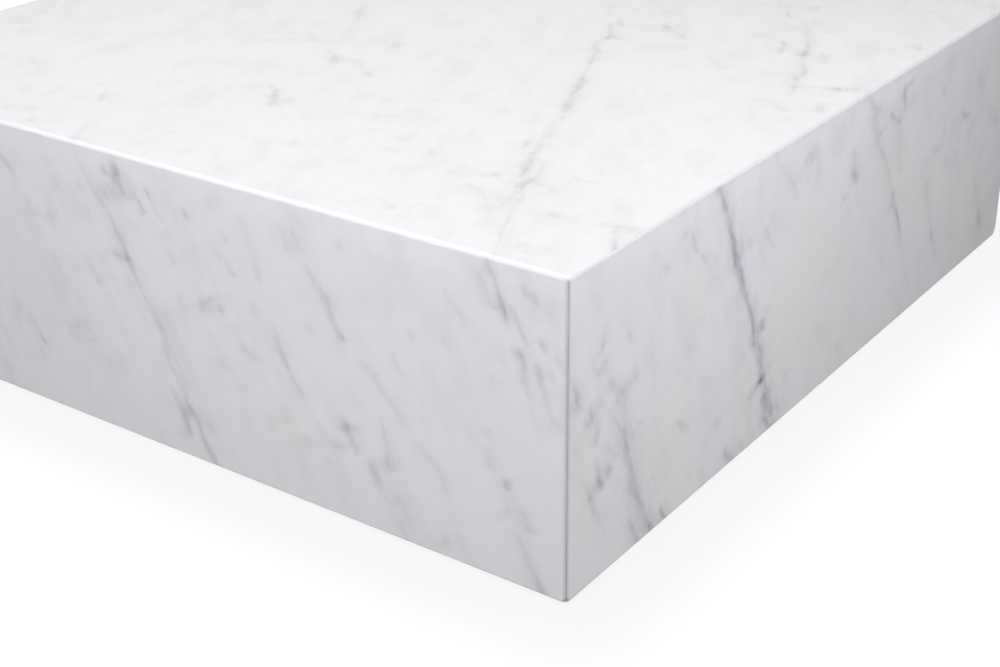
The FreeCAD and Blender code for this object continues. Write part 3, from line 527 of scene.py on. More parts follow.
RIGHT = """
213,284,6.3,1 218,275,6.51,1 224,267,6.72,1.1 228,259,7.14,1.28 233,250,6.72,1 238,240,7.35,1.06 243,228,7.35,1.12 247,219,7.35,1.18 250,210,7.56,1.32 255,198,8.19,1.42 260,190,7.35,1.26 267,178,6.51,1.16 274,162,5.67,1 282,146,5.67,.96 288,133,6.51,1.14 294,120,7.35,1.12 297,108,8.3,1.18 302,100,7.56,1.01 308,92,7.56,1.02 312,81,8.05,.912 313,71,9.76,.834 314,62,9.76,1.07 320,53,8.54,.572 326,44,9.76,.811 330,34,9.27,.828 334,26,8.05,.795 337,20,7.81,1.07 340,15,6.1,.477
308,62,5.52,.62 314,60,5.95,1.25
320,40,6.9,.4 322,30,6.9,.44 324,19,7.59,.8 331,11,7.36,.84 338,4,7.36,.96 343,0,7.36,.96 349,-7,6.9,.8
307,123,4.6,.5 311,116,5.2,1.02 314,111,4.6,.5
317,127,6,.28
293,56,5.5,.204 295,48,5.8,.34 298,41,5,.323
62,136,5.68,.226 70,127,5.99,.358 78,118,6.48,.565 81,108,6.73,.621 85,96,6.73,.621 89,84,6.73,.677 92,74,7.23,.828 93,66,7.98,.809 94,59,7.73,.621 98,53,6.73,.771 103,45,6.24,.809 106,39,5.74,.677 111,30,5.74,.565 116,20,5.57,.771 120,11,6.4,.989 125,4,6.19,1.13 129,-3,6.19,1.04
126,16,7,.38
140,17,4.4,.5 143,12,5.2,.9 147,5,5,1.06 151,0,4.6,.8 154,-5,4.6,.6
90,30,4.6,.6 95,21,5.4,.78 99,14,5.4,.62 103,6,5.4,.6 107,-1,5,.5
84,33,5,.24
3,196,5.5,.3 6,190,5,.45 9,184,4.6,.62 12,176,5,.9 14,169,5,.65 20,163,5,.28
6,169,7,.3
2,151,5,.5
10,134,6,.24
29,163,4.6,.36 33,150,7.4,.68 37,147,5.4,.5 40,138,5.6,.52 41,130,5,.34
37,127,4.6,.38
27,148,6,.34
44,158,7,.24
48,220,6,.24 47,208,5,.5 46,203,4.8,.58
47,189,6.6,.4 44,183,6,.3
36,192,7,.24
54,186,6,.2
57,171,5.4,.46 64,164,6,.48 70,158,7,.46 76,153,9,.5 80,148,8.6,.46 83,140,7.2,.32 86,132,6,.2
86,156,9,.34 93,158,8,.36 99,156,7,.26
93,167,6,.34
84,200,5,.45 89,190,5.4,.2
55,115,6.6,.34 62,108,6,.35 68,100,6,.22
39,112,4.6,.28 42,98,4.8,.5 43,90,6.2,.88 47,85,5.8,1.0 51,80,5,.5
54,93,8.5,.46
59,92,6,.34
19,102,5,.2 25,95,5,.35 29,89,5.2,.6 31,81,6.2,.78 35,74,5.4,.7 38,65,4.4,.64 41,59,3.8,.56 49,46,3.8,.24 57,35,4,.22 70,20,5,.14
57,50,5,.18
103,116,5.5,.24 108,112,5.2,.3
126,54,4.2,.34 130,48,4.2,.26 136,34,5,.14
163,257,5.5,.4 166,253,6,.58
162,273,4.8,.48
174,254,5,.22 180,242,4.2,.68 183,235,4,.68 190,228,4,.26 197,223,4.2,.58 204,215,4.8,.4 214,200,5.5,.24 224,194,5.4,.28
134,238,6,.3 139,234,6.6,.46 143,229,5,.24
163,88,5,.4 169,84,5.6,.58 174,79,6,.55 179,75,6,.48 184,70,5.4,.25
209,108,8,.24
220,98,8,.24
234,57,8,.36 236,54,8.2,.46 240,50,6.5,.36
226,78,13,.2
249,21,5,.4 253,15,5.4,.88 258,9,5.8,1.04 263,3,5.4,.95 268,-3,5,.8
277,13,5.4,.6 281,7,5.8,.62 286,1,5.4,.52 290,-4,5,.4
212,16,7,.24
215,4,6,.3
189,22,6,.2
274,210,5.8,.42 280,203,5.6,.45
305,211,5.8,.48 310,202,6,.44 316,194,6.4,.36 322,188,6.4,.4
317,217,6,.3
294,226,9,.22
324,204,7,.2
174,149,9,.28
163,135,4.4,.24
154,158,7,.18
176,124,9,.18
261,164,7,.24
314,277,5.5,.38 318,270,5.8,.42 321,262,5.6,.38 330,258,6.4,.38 338,250,6.6,.36 348,241,6,.44 355,234,6.4,.44 359,228,6.6,.32 362,220,7,.18
377,252,5.5,.46 376,244,6,.3
386,257,7,.32 390,246,6.6,.6
398,252,6,.28
402,238,7,.24
383,232,6,.28
403,273,4.8,.34
405,224,9,.24
399,224,6,.18
436,258,9,.22
450,260,6,.24
450,240,6,.18
469,271,5.6,.38 468,260,6.5,.44
475,230,5,.4 478,225,5.6,.55 481,218,5.8,.42 477,212,6,.6 479,207,6.8,.9 484,202,6.8,.95 489,196,6,.55
463,188,5.5,.4 466,185,5.5,.48
474,170,7,.24
481,162,6,.18
497,278,4.6,.35 501,273,4.6,.42 507,267,4.8,.58 513,261,5.8,.56 520,258,6,.56 526,254,5.8,.56
516,252,4,.3 519,244,5.6,.36 523,237,5.8,.42 528,231,5.8,.5 535,228,6,.55
532,221,5.6,.4 538,214,6.4,.42 543,206,5.8,.5 550,201,5.4,.46 555,195,5.4,.48 559,189,5.6,.56 564,180,4.8,.36 569,168,4.8,.36 574,158,4.8,.42 580,150,5.6,.76 583,144,5.8,.7 588,137,5.2,.66 594,127,4.8,.78 600,118,4.8,.78 604,110,4.8,.66 607,103,4.4,.54 610,96,5,.3 612,87,6.6,.45 616,82,6,.3 626,62,6.2,.22 633,50,6,.3 640,40,6,.3 646,28,6,.22
577,140,5.6,.38
557,242,5.2,.8 562,237,5.2,.78 568,232,4.8,.5 575,230,5.4,.45 582,227,6.6,.6
581,262,4.8,.46 584,252,5.2,.7 588,243,6,.74 591,236,6.6,.66
593,261,4.8,.56 599,262,4.8,.68 606,261,5,.4
581,219,6,.3 584,206,7,.34 586,192,7,.35 591,181,6,.34 594,173,5,.32
610,241,7,.34
464,122,6,.28
438,118,8,.18
366,48,5,.26 369,43,5,.34
354,17,7,.48 360,9,6.8,.4 365,3,6,.28
350,21,6,.28
476,24,8,.24
486,18,7,.18
504,58,11,.15
638,248,13,.2
643,232,9,.2
686,229,8,.44
699,259,10,.34
656,214,9,.22
702,185,7,.24
700,200,7,.18
719,206,7,.24
676,171,7,.3 685,167,8,.55 694,163,7,.34
649,154,7,.24 658,144,8,.25 664,134,8,.4 670,124,7.5,.34 676,112,6.4,.2 683,98,6.2,.24 687,86,6,.3 691,76,6,.36 695,68,6.2,.82 699,64,6,.6 705,57,6,.4 710,47,6,.3 714,32,6,.18
712,150,8,.28
722,140,8,.18
743,140,8,.24
738,176,11,.18
726,182,8,.18
742,193,6,.34 750,188,6,.48 757,184,6.8,.8 763,181,6,.6 770,178,6,.25
776,158,8,.28
785,168,9,.38
790,214,17,.24
798,215,13,.2
796,138,9,.34
836,162,10,.42
854,150,10,.42
870,108,10,.24
842,96,9,.24
838,38,11,.66
810,78,15,.18
826,62,15,.24
856,30,12,.24
880,64,10,.3
754,48,7,.18
766,22,10,.24
674,10,11,.22
70,150,10,.14 80,126,12,.21 88,100,12,.238 95,72,12,.238 103,46,11,.21 114,20,10,.175
308,92,12,.12 318,64,14,.18 328,38,14,.204 338,14,13,.192
"""


# ---------------------------------------------------------------- marble veins
DX, DY = 0.42, -0.90752          # the veins run this way across every slab, seen from outside


def strokes(text, cu, cv, shift=(0.0, 0.0), gain=1.0):
    """The strokes of a face as lists of (s along the veins, t across them, half-width, strength)."""
    out = []
    for line in text.strip().splitlines():
        p = []
        for item in line.split():
            u, v, w, a = (float(q) for q in item.split(","))
            p.append((u - cu + shift[0], v - cv + shift[1], w, a * gain))
        mean = sum(q[0] for q in p) / len(p)
        wrap = 900.0 if mean < -455 and shift[0] else -900.0 if mean > 455 and shift[0] else 0.0
        p = [((u + wrap) * DX + v * DY, -(u + wrap) * DY + v * DX, w, a) for u, v, w, a in p]
        p.sort()
        if len(p) == 1:
            s, t, w, a = p[0]
            e = 1.9 * w
            p = [(s - e, t - .15 * w, w * .7, 0.), (s - .5 * e, t, w * .95, a * .62), (s, t, w, a),
                 (s + .5 * e, t + .1 * w, w * .9, a * .55), (s + e, t + .2 * w, w * .6, 0.)]
        else:
            ends = []
            for (s, t, w, a), (s1, t1, _, _), side in ((p[0], p[1], -1), (p[-1], p[-2], 1)):
                e = max(3.2, w * (1.0 if a < .6 else .8))
                gap = s1 - s if abs(s1 - s) > 1.5 else -1.5 * side
                k = max(-1.2, min(1.2, (t1 - t) / gap))
                ends.append((s + side * e, t + side * k * e, w * .6, 0.))
            p = [ends[0]] + p + [ends[1]]
        q = [p[0]]
        for r in p[1:]:
            if r[0] - q[-1][0] < 1.4:
                r = (q[-1][0] + 1.4,) + r[1:]
            q.append(r)
        # where a stroke slants across the grain its width is measured along the slant
        r = []
        for i, (s, t, w, a) in enumerate(q):
            lo, hi = q[max(i - 1, 0)], q[min(i + 1, len(q) - 1)]
            k = (hi[1] - lo[1]) / (hi[0] - lo[0])
            r.append((s, t, w * min(2.6, math.hypot(1.0, k)), a))
        out.append(r)
    return out


def share(items, windows, gap=5.0):
    """Give the strokes to channels. A channel is a function of s, so its strokes follow each other."""
    todo = {w: [] for w in windows}
    for q in items:
        for w in windows:
            if q[0][0] >= w[0] and q[-1][0] <= w[1]:
                todo[w].append(q)
                break
        else:
            w = windows[0]
            cut = [p for p in q if w[0] <= p[0] <= w[1] - 8]
            rest = [p for p in q if w[1] - 8 < p[0] <= windows[-1][1]]
            if not cut or not rest or len(windows) == 1:
                lo, hi = windows[-1] if q[0][0] > 0 else w
                kept = [p for p in q if lo < p[0] < hi]
                if len(kept) > 1:
                    todo[windows[-1] if q[0][0] > 0 else w].append(kept)
                continue
            a, b = cut[-1], rest[0]
            mid = tuple((x + y) / 2 for x, y in zip(a, b))
            todo[w].append(cut + [mid[:3] + (mid[3] * .5,), (b[0], b[1], b[2], 0.)])
            todo[windows[-1]].append([(a[0], a[1], a[2], 0.), mid[:3] + (mid[3] * .5,)] + rest)
    res = []
    for w in windows:
        ch = []
        for q in sorted(todo[w], key=lambda q: q[0][0]):
            best = None
            for c in ch:
                room = q[0][0] - c[-1][0]
                if room >= gap and (best is None or room < best[0]):
                    best = (room, c)
            if best:
                best[1].extend(q)
            else:
                ch.append(list(q))
        res.append((w, ch))
    return res


# ---------------------------------------------------------------- marble
REACH = 700.0                    # half the range of t that a table covers, in mm
WIDEST = 40.0                    # the largest half-width that a table holds, in mm
STRONGEST = 1.5


def face_axes(x, y, z, v0, depth):
    """Vectors that turn object coordinates into s, t and depth in mm, with their offsets."""
    u, v = Vector(x), Vector(y)
    return dict(s=1000 * (u * DX + v * DY), s0=v0 * DY, t=1000 * (v * DX - u * DY), t0=v0 * DX,
                d=1000 * Vector(z), d0=depth)


UP = (0, 0, 1)
SLABS = {
    "top_slab": dict(axes=face_axes((1, 0, 0), (0, 1, 0), UP, 0.0, -280.0), text=TOP, centre=(450, 450),
                     windows=[(-600, 40), (-40, 600)], k=0.176, power=1.7, haze=0.032, seed=3.0, warp=0.8, spread=1.4, keep=(1.0, 0.967),
                     tints=((0.852, 0.851, 0.866), (0.857, 0.850, 0.880)),
                     edges=(((1, 0, 0, 445.6), 0.19, ((0, 1, 0), -430, -270)), ((0, 1, 0, 445.6), 0.06, None), ((-1, 0, 0, 445.6), 0.06, None),
                            ((0, -1, 0, 445.6), 0.03, None))),
    "front_slab": dict(axes=face_axes((1, 0, 0), UP, (0, -1, 0), -141.0, -450.0), text=FRONT, centre=(450, 139),
                       windows=[(-320, 320)], k=0.188, power=1.45, haze=0.034, seed=11.0, warp=0.8, spread=1.25, keep=(0.995, 0.964),
                       tints=((0.854, 0.849, 0.888), (0.859, 0.848, 0.908)), flush=((-0.5, 0, -2.5), -150, -40, (0.013, -0.006)), ends=((1, 0, 0), 0.37, 0.20),
                       olive=(((0.163, -0.45, 0.070), 0.026), ((0.022, -0.45, 0.050), 0.016), ((0.068, -0.45, 0.243), 0.009),
                              ((0.089, -0.45, 0.163), 0.014)), edges=()),
    "right_slab": dict(axes=face_axes((0, 1, 0), UP, (1, 0, 0), -141.0, -450.0), text=RIGHT, centre=(450, 139),
                       windows=[(-320, 320)], k=0.240, power=1.45, haze=0.050, seed=19.0, warp=0.8, spread=1.15, keep=(0.98, 0.906),
                       tints=((0.852, 0.850, 0.873), (0.859, 0.848, 0.908)), flush=((0, 1, 0), 60, 300, (0.020, 0.009)), ends=((0, 1, 0), 0.20, 0.29),
                       olive=(((0.45, -0.403, 0.087), 0.026), ((0.45, 0.307, 0.194), 0.013), ((0.45, 0.236, 0.176), 0.011),
                              ((0.45, 0.385, 0.044), 0.013)),
                       edges=(((0, 0, 1, 275.2), 0.20, ((0, 1, 0), -430, -200)), ((0, 0, -1, -6.2), 0.07, None))),
    "back_slab": dict(axes=face_axes((-1, 0, 0), UP, (0, 1, 0), -141.0, -450.0), text=FRONT, centre=(450, 139),
                      windows=[(-320, 320)], k=0.195, power=1.45, haze=0.036, seed=27.0, warp=9.0, shift=(-64, 12), gain=0.92, spread=1.25, keep=(0.99, 0.94),
                      tints=((0.853, 0.850, 0.876), (0.859, 0.848, 0.902)), ends=((-1, 0, 0), 0.16, 0.16),
                      edges=(((0, 0, 1, 275.2), 0.05, None),)),
    "left_slab": dict(axes=face_axes((0, -1, 0), UP, (-1, 0, 0), -141.0, -450.0), text=RIGHT, centre=(450, 139),
                      windows=[(-320, 320)], k=0.205, power=1.45, haze=0.040, seed=35.0, warp=9.0, shift=(52, -14), gain=0.88, spread=1.2, keep=(0.985, 0.93),
                      tints=((0.853, 0.850, 0.872), (0.859, 0.848, 0.902)), ends=((0, -1, 0), 0.16, 0.16),
                      edges=(((0, 0, 1, 275.2), 0.05, None),)),
}


def channel_table(run, w0, w1):
    """A channel's strokes as three tables over its window: middle, half-width and strength."""
    rows = sorted((max(0.0, min(1.0, (s - w0) / (w1 - w0))), t, w, a) for s, t, w, a in run)
    keep = [rows[0]]
    for r in rows[1:]:
        if r[0] - keep[-1][0] > 1e-5:
            keep.append(r)
    return ([(s, (t + REACH) / (2 * REACH)) for s, t, w, a in keep],
            [(s, min(1.0, w / WIDEST)) for s, t, w, a in keep],
            [(s, min(1.0, a / STRONGEST)) for s, t, w, a in keep])


def marble(name, spec):
    """One slab: the listed veins, their ragged edges, and the cloudy ground between them."""
    T = Tree("marble_" + name)
    ax = spec["axes"]
    s = T.math("ADD", T.vec("DOT_PRODUCT", T.co, tuple(ax["s"])), ax["s0"])
    t = T.math("ADD", T.vec("DOT_PRODUCT", T.co, tuple(ax["t"])), ax["t0"])
    d = T.math("ADD", T.vec("DOT_PRODUCT", T.co, tuple(ax["d"])), ax["d0"])
    q = T.vec("ADD", T.xyz(s, t, d), (spec["seed"] * 131.7, spec["seed"] * -77.3, spec["seed"] * 41.9))

    def fine(ls, lt, ld, **kw):
        return T.noise(T.vec("MULTIPLY", q, (1 / ls, 1 / lt, 1 / ld)), **kw)

    # veins wander: slow drift, then a ragged edge
    n_slow = fine(190, 120, 90, detail=1.0)[0]
    n_edge = fine(19, 9, 10, detail=3.0, rough=0.62)[0]
    wander = T.math("ADD", T.math("MULTIPLY_ADD", n_slow, 4.0 * spec["warp"], -2.0 * spec["warp"]),
                    T.math("MULTIPLY_ADD", n_edge, 3.2, -1.6))
    tw = T.math("MULTIPLY_ADD", T.math("ADD", t, wander), 0.5 / REACH, 0.5)
    n_amp = fine(15, 5, 7, detail=2.0, rough=0.6)[0]
    n_grit = fine(4.6, 2.1, 2.6, detail=1.0)[0]
    n_mist = fine(26, 11, 15, detail=3.0, rough=0.62)[0]
    wide = T.math("MULTIPLY_ADD", n_mist, 0.7, 0.65)
    sharp = T.math("DIVIDE", 2 * REACH / WIDEST, T.math("MULTIPLY", wide, spec["spread"]))
    total = haze = None
    for (w0, w1), runs in share(strokes(spec["text"], *spec["centre"], spec.get("shift", (0, 0)), spec.get("gain", 1.0)),
                                spec["windows"]):
        x = T.math("MULTIPLY_ADD", s, 1.0 / (w1 - w0), -w0 / (w1 - w0))
        tables = [channel_table(r, w0, w1) for r in runs]
        for i in range(0, len(tables), 3):
            three = tables[i:i + 3]
            mid = T.curves(x, [c[0] for c in three])
            wid = T.curves(x, [c[1] for c in three] + [[(0.0, 0.5), (1.0, 0.5)]] * (3 - len(three)))
            amp = T.curves(x, [c[2] for c in three] + [None] * (3 - len(three)))
            off = T.vec("DIVIDE", T.scale(T.vec("SUBTRACT", tw, mid), sharp), wid)
            sq = T.vec("MULTIPLY", off, off)
            core = T.vec("DIVIDE", (1.0, 1.0, 1.0), T.vec("MULTIPLY_ADD", sq, (1.15, 1.15, 1.15), (1.0, 1.0, 1.0)))
            body = T.vec("DOT_PRODUCT", T.vec("MULTIPLY", core, core), amp)
            skirt = T.vec("DIVIDE", (1.0, 1.0, 1.0), T.vec("MULTIPLY_ADD", sq, (0.13, 0.13, 0.13), (1.0, 1.0, 1.0)))
            mist = T.vec("DOT_PRODUCT", T.vec("MULTIPLY", skirt, skirt), amp)
            total = body if total is None else T.math("ADD", total, body)
            haze = mist if haze is None else T.math("ADD", haze, mist)
    grain = T.math("MULTIPLY", T.ramp(n_amp, 0.28, 0.72, 0.58, 1.37, smooth=False), T.math("MULTIPLY_ADD", n_grit, 0.45, 0.775))
    vein = T.math("MULTIPLY", T.math("MULTIPLY", total, STRONGEST), grain)
    vein = T.math("DIVIDE", T.math("MULTIPLY", vein, 1.18), T.math("MULTIPLY_ADD", vein, 0.18, 1.0))
    haze = T.math("MULTIPLY", T.math("MULTIPLY", haze, STRONGEST), T.ramp(n_mist, 0.34, 0.70, 0.25, 1.9, smooth=False))
    dark = T.math("MULTIPLY", T.math("POWER", vein, spec["power"]), spec["k"])
    dark = T.math("MINIMUM", T.math("MULTIPLY_ADD", haze, spec["haze"], dark), 0.86)

    # the ground: broad clouds, smudges, streaks along the veins, a fine mottle and faint hairlines
    cloud = fine(165, 75, 110, detail=2.0)[0]
    smudge = fine(52, 26, 34, detail=2.0, rough=0.5)[0]
    streak = fine(95, 30, 40, detail=2.0, rough=0.5)[0]
    mottle = fine(16, 12, 13, detail=3.0, rough=0.58)[0]
    hair = fine(150, 34, 50, detail=3.0, rough=0.58)[0]
    near = T.ramp(T.math("ABSOLUTE", T.math("SUBTRACT", hair, 0.5)), 0.0, 0.028, 1.0, 0.0)
    hair_mask = T.ramp(cloud, 0.48, 0.66)
    ground = T.math("ADD", T.math("MULTIPLY_ADD", cloud, 0.05, -0.025), T.math("MULTIPLY_ADD", streak, 0.024, -0.012))
    ground = T.math("ADD", ground, T.math("MULTIPLY_ADD", mottle, 0.040, -0.020))
    ground = T.math("SUBTRACT", ground, T.ramp(smudge, 0.46, 0.74, 0.0, 0.045))
    ground = T.math("SUBTRACT", ground, T.math("MULTIPLY", T.math("MULTIPLY", near, hair_mask), 0.010))
    tone = T.math("ADD", ground, 1.01)
    for way, depth, fade in spec["edges"]:
        # painted shade: the stone is darkened along its top arrises (on the top slab mostly along the right one) and
        # along the bottom edge of the right slab, standing in for shade and a dimmer highlight
        edge_shade_mask = T.ramp(T.vec("DOT_PRODUCT", T.co, tuple(1000.0 * c for c in way[:3])), way[3], way[3] + 3.2)
        if fade is not None:
            edge_shade_mask = T.math("MULTIPLY", edge_shade_mask, T.ramp(T.vec("DOT_PRODUCT", T.co, tuple(1000.0 * c for c in fade[0])), fade[1], fade[2], 0.35, 1.0))
        tone = T.math("MULTIPLY", tone, T.math("MULTIPLY_ADD", T.math("MULTIPLY", edge_shade_mask, T.math("MULTIPLY_ADD", mottle, 0.7, 0.65)), -depth, 1.0))
    if "ends" in spec:
        # painted light: the stone is lightened in a band just under the top edge, standing in for light let through the
        # stone; resin has soaked into the stone beside the upright joints
        along, stain_far, stain_near = spec["ends"]
        z = T.split(T.co)[2]
        # painted light: 3% lighter from 252 to 267 mm up, light let through the top edge painted into the colour
        tone = T.math("MULTIPLY", tone, T.ramp(z, 0.252, 0.267, 1.0, 1.03))
        e = T.vec("DOT_PRODUCT", T.co, tuple(1000.0 * c for c in along))
        low = T.ramp(z, 0.02, 0.25, 1.0, 0.84, smooth=False)
        soak = T.math("ADD", T.math("MULTIPLY", T.ramp(e, 445.3, 449.2), stain_far),
                      T.math("MULTIPLY", T.ramp(e, -449.2, -445.4, 1.0, 0.0), stain_near))
        soak = T.math("MULTIPLY", soak, T.math("MULTIPLY", low, T.math("MULTIPLY_ADD", mottle, 0.8, 0.6)))
        stain = T.vec("MULTIPLY_ADD", T.xyz(soak, soak, soak), (-0.80, -1.0, -0.93), (1.0, 1.0, 1.0))
    # lilac and neutral areas; the sides are more lilac towards the top
    tint_n = fine(150, 105, 90, detail=2.0)[0]
    if "ends" in spec:
        tint_n = T.math("ADD", tint_n, T.math("MULTIPLY_ADD", z, 0.9, -0.126))
    tint = T.mix(T.ramp(tint_n, 0.34, 0.66), *spec["tints"])
    rust = T.math("MULTIPLY", T.ramp(fine(60, 32, 40, detail=2.0)[0], 0.56, 0.72), T.math("MINIMUM", dark, 0.25))
    # the dark mineral is faintly violet: it takes less from blue, and a little less from red, than from green
    red, blue = spec["keep"]
    colour = T.vec("MULTIPLY", T.scale(tint, tone), T.vec("MULTIPLY_ADD", T.xyz(dark, dark, dark), (-red, -1.0, -blue), (1.0, 1.0, 1.0)))
    colour = T.vec("MULTIPLY", colour, T.vec("MULTIPLY_ADD", T.xyz(rust, rust, rust), (0.02, 0.0, -0.08), (1.0, 1.0, 1.0)))
    if "flush" in spec:
        # a faint rosy drift towards one end
        way, lo, hi, (r, b) = spec["flush"]
        drift = T.ramp(T.vec("DOT_PRODUCT", T.co, tuple(1000.0 * c for c in way)), lo, hi)
        colour = T.vec("MULTIPLY", colour, T.vec("MULTIPLY_ADD", T.xyz(drift, drift, drift), (r, 0.0, b), (1.0, 1.0, 1.0)))
    for place, size in spec.get("olive", ()):
        spot = T.ramp(T.vec("DISTANCE", T.co, place), 0.3 * size, size, 1.0, 0.0)
        spot = T.math("MULTIPLY", spot, T.ramp(smudge, 0.35, 0.6, 0.3, 1.0))
        colour = T.vec("MULTIPLY", colour, T.vec("MULTIPLY_ADD", T.xyz(spot, spot, spot), (0.0, 0.0, -0.055), (1.0, 1.0, 1.0)))
    if "ends" in spec:
        colour = T.vec("MULTIPLY", colour, stain)
    T.put(T.bsdf.inputs["Base Color"], colour)
    T.put(T.bsdf.inputs["Roughness"], T.math("ADD", T.math("MULTIPLY_ADD", mottle, 0.08, 0.14), T.math("MULTIPLY", dark, 0.12)))
    T.set(IOR=1.5)
    T.bump(T.math("ADD", T.math("MULTIPLY", mottle, 0.6), T.math("MULTIPLY", dark, -0.8)), 0.12, 0.0003)
    return T.mat


# ---------------------------------------------------------------- other finishes
def offcut():
    """Corner blocks: sawn, unpolished offcuts of the same stone."""
    T = Tree("marble_offcut")
    at = T.scale(T.co, 1000.0)
    cloud = T.noise(T.vec("MULTIPLY", at, (1 / 60, 1 / 60, 1 / 25)), detail=3.0, dist=0.6)[0]
    vein = T.ramp(T.math("ABSOLUTE", T.math("SUBTRACT", cloud, 0.5)), 0.0, 0.05, 1.0, 0.0)
    x, y, z = T.split(at)
    saw = T.noise(T.xyz(T.math("MULTIPLY", x, 0.05), T.math("MULTIPLY", y, 0.05), T.math("MULTIPLY", z, 0.9)), detail=2.0)[0]
    grit = T.noise(at, scale=1.1, detail=2.0)[0]
    tone = T.math("SUBTRACT", T.math("MULTIPLY_ADD", saw, 0.06, 0.95), T.math("MULTIPLY", vein, 0.25))
    T.put(T.bsdf.inputs["Base Color"], T.scale(T.mix(cloud, (0.74, 0.735, 0.75), (0.80, 0.795, 0.80)), tone))
    T.put(T.bsdf.inputs["Roughness"], T.math("MULTIPLY_ADD", grit, 0.2, 0.55))
    T.bump(T.math("ADD", T.math("MULTIPLY", saw, 0.7), T.math("MULTIPLY", grit, 0.3)), 0.5, 0.0006)
    return T.mat


def resin():
    """Polyester in the mitres: greyed pink and mottled, darker towards the bottom."""
    T = Tree("mitre_resin")
    at = T.scale(T.co, 1000.0)
    n = T.noise(T.vec("MULTIPLY", at, (1 / 9, 1 / 9, 1 / 26)), detail=3.0, rough=0.6)[0]
    dot = T.noise(at, scale=0.9, detail=2.0)[0]
    z = T.split(T.co)[2]
    # darker towards the bottom
    lower = T.ramp(z, 0.02, 0.27, 0.0, 1.0)
    deep = T.mix(lower, (0.415, 0.380, 0.392), (0.480, 0.440, 0.440))
    deep = T.mix(T.ramp(z, 0.258, 0.272), deep, (0.44, 0.36, 0.33))
    T.put(T.bsdf.inputs["Base Color"], T.scale(deep, T.math("ADD", T.math("MULTIPLY_ADD", n, 0.5, 0.62), T.math("MULTIPLY", dot, 0.26))))
    T.put(T.bsdf.inputs["Roughness"], T.math("MULTIPLY_ADD", dot, 0.2, 0.22))
    T.bump(dot, 0.3, 0.0002)
    return T.mat


def top_resin():
    """The same polyester in the pale tint used round the top, where it has to vanish."""
    T = Tree("mitre_resin_top")
    at = T.scale(T.co, 1000.0)
    n = T.noise(T.vec("MULTIPLY", at, (1 / 30, 1 / 30, 1 / 8)), detail=3.0, rough=0.6)[0]
    dot = T.noise(at, scale=0.8, detail=2.0)[0]
    # at the four corners it has run into the darker resin of the upright mitres
    x, y, z = T.split(T.vec("ABSOLUTE", at))
    corner = T.math("MULTIPLY", T.ramp(T.math("MINIMUM", x, y), 445.6, 447.0), T.ramp(z, 276.6, 278.6, 1.0, 0.0))
    pale = T.mix(n, (0.68, 0.668, 0.672), (0.80, 0.79, 0.798))
    T.put(T.bsdf.inputs["Base Color"], T.scale(T.mix(corner, pale, (0.47, 0.422, 0.395)), T.math("MULTIPLY_ADD", dot, 0.2, 0.88)))
    T.put(T.bsdf.inputs["Roughness"], T.math("MULTIPLY_ADD", dot, 0.2, 0.18))
    T.bump(dot, 0.2, 0.0002)
    return T.mat


def birch(name, flat, grain):
    """Birch plywood: figure on the faces, thin plies across its thickness on the edges. grain is the long way."""
    T = Tree("birch_ply_" + name)
    at = T.scale(T.co, 1000.0)
    x, y, z = T.split(at)
    axis = {"x": x, "y": y, "z": z}
    through = axis[flat]
    long, wide = axis[grain], axis[({"x", "y", "z"} - {flat, grain}).pop()]
    fig_at = T.xyz(T.math("MULTIPLY", long, 0.006), T.math("MULTIPLY", wide, 0.035), T.math("MULTIPLY", through, 0.01))
    figure = T.noise(fig_at, scale=1.0, detail=3.0, dist=1.4)[0]
    ring = T.math("FRACT", T.math("MULTIPLY", figure, 9.0))
    ring = T.ramp(T.math("ABSOLUTE", T.math("SUBTRACT", ring, 0.5)), 0.0, 0.5, 0.0, 1.0)
    pore_at = T.xyz(T.math("MULTIPLY", long, 0.05), T.math("MULTIPLY", wide, 1.3), T.math("MULTIPLY", through, 1.3))
    pore = T.noise(pore_at, scale=1.0, detail=2.0)[0]
    face = T.mix(T.math("ADD", T.math("MULTIPLY", ring, 0.6), T.math("MULTIPLY", pore, 0.4)),
                 (0.68, 0.50, 0.31), (0.80, 0.64, 0.43))
    ply = T.math("FRACT", T.math("MULTIPLY", through, 1 / 2.8))
    band = T.ramp(T.math("ABSOLUTE", T.math("SUBTRACT", ply, 0.5)), 0.22, 0.28)
    edge = T.mix(band, (0.52, 0.34, 0.19), (0.78, 0.61, 0.40))
    line = T.ramp(T.math("ABSOLUTE", T.math("SUBTRACT", T.math("ABSOLUTE", T.math("SUBTRACT", ply, 0.5)), 0.25)), 0.0, 0.035, 0.72, 1.0)
    edge = T.scale(edge, line)
    nrm = T.vec("ABSOLUTE", T.new("ShaderNodeNewGeometry").outputs["Normal"])
    facing = dict(zip("xyz", T.split(nrm)))[flat]
    on_face = T.ramp(facing, 0.6, 0.8)
    T.put(T.bsdf.inputs["Base Color"], T.scale(T.mix(on_face, edge, face), T.math("MULTIPLY_ADD", pore, 0.25, 0.86)))
    T.put(T.bsdf.inputs["Roughness"], T.math("MULTIPLY_ADD", pore, 0.25, 0.5))
    T.bump(T.math("ADD", T.math("MULTIPLY", pore, 0.7), T.math("MULTIPLY", ring, 0.2)), 0.35, 0.0004)
    return T.mat


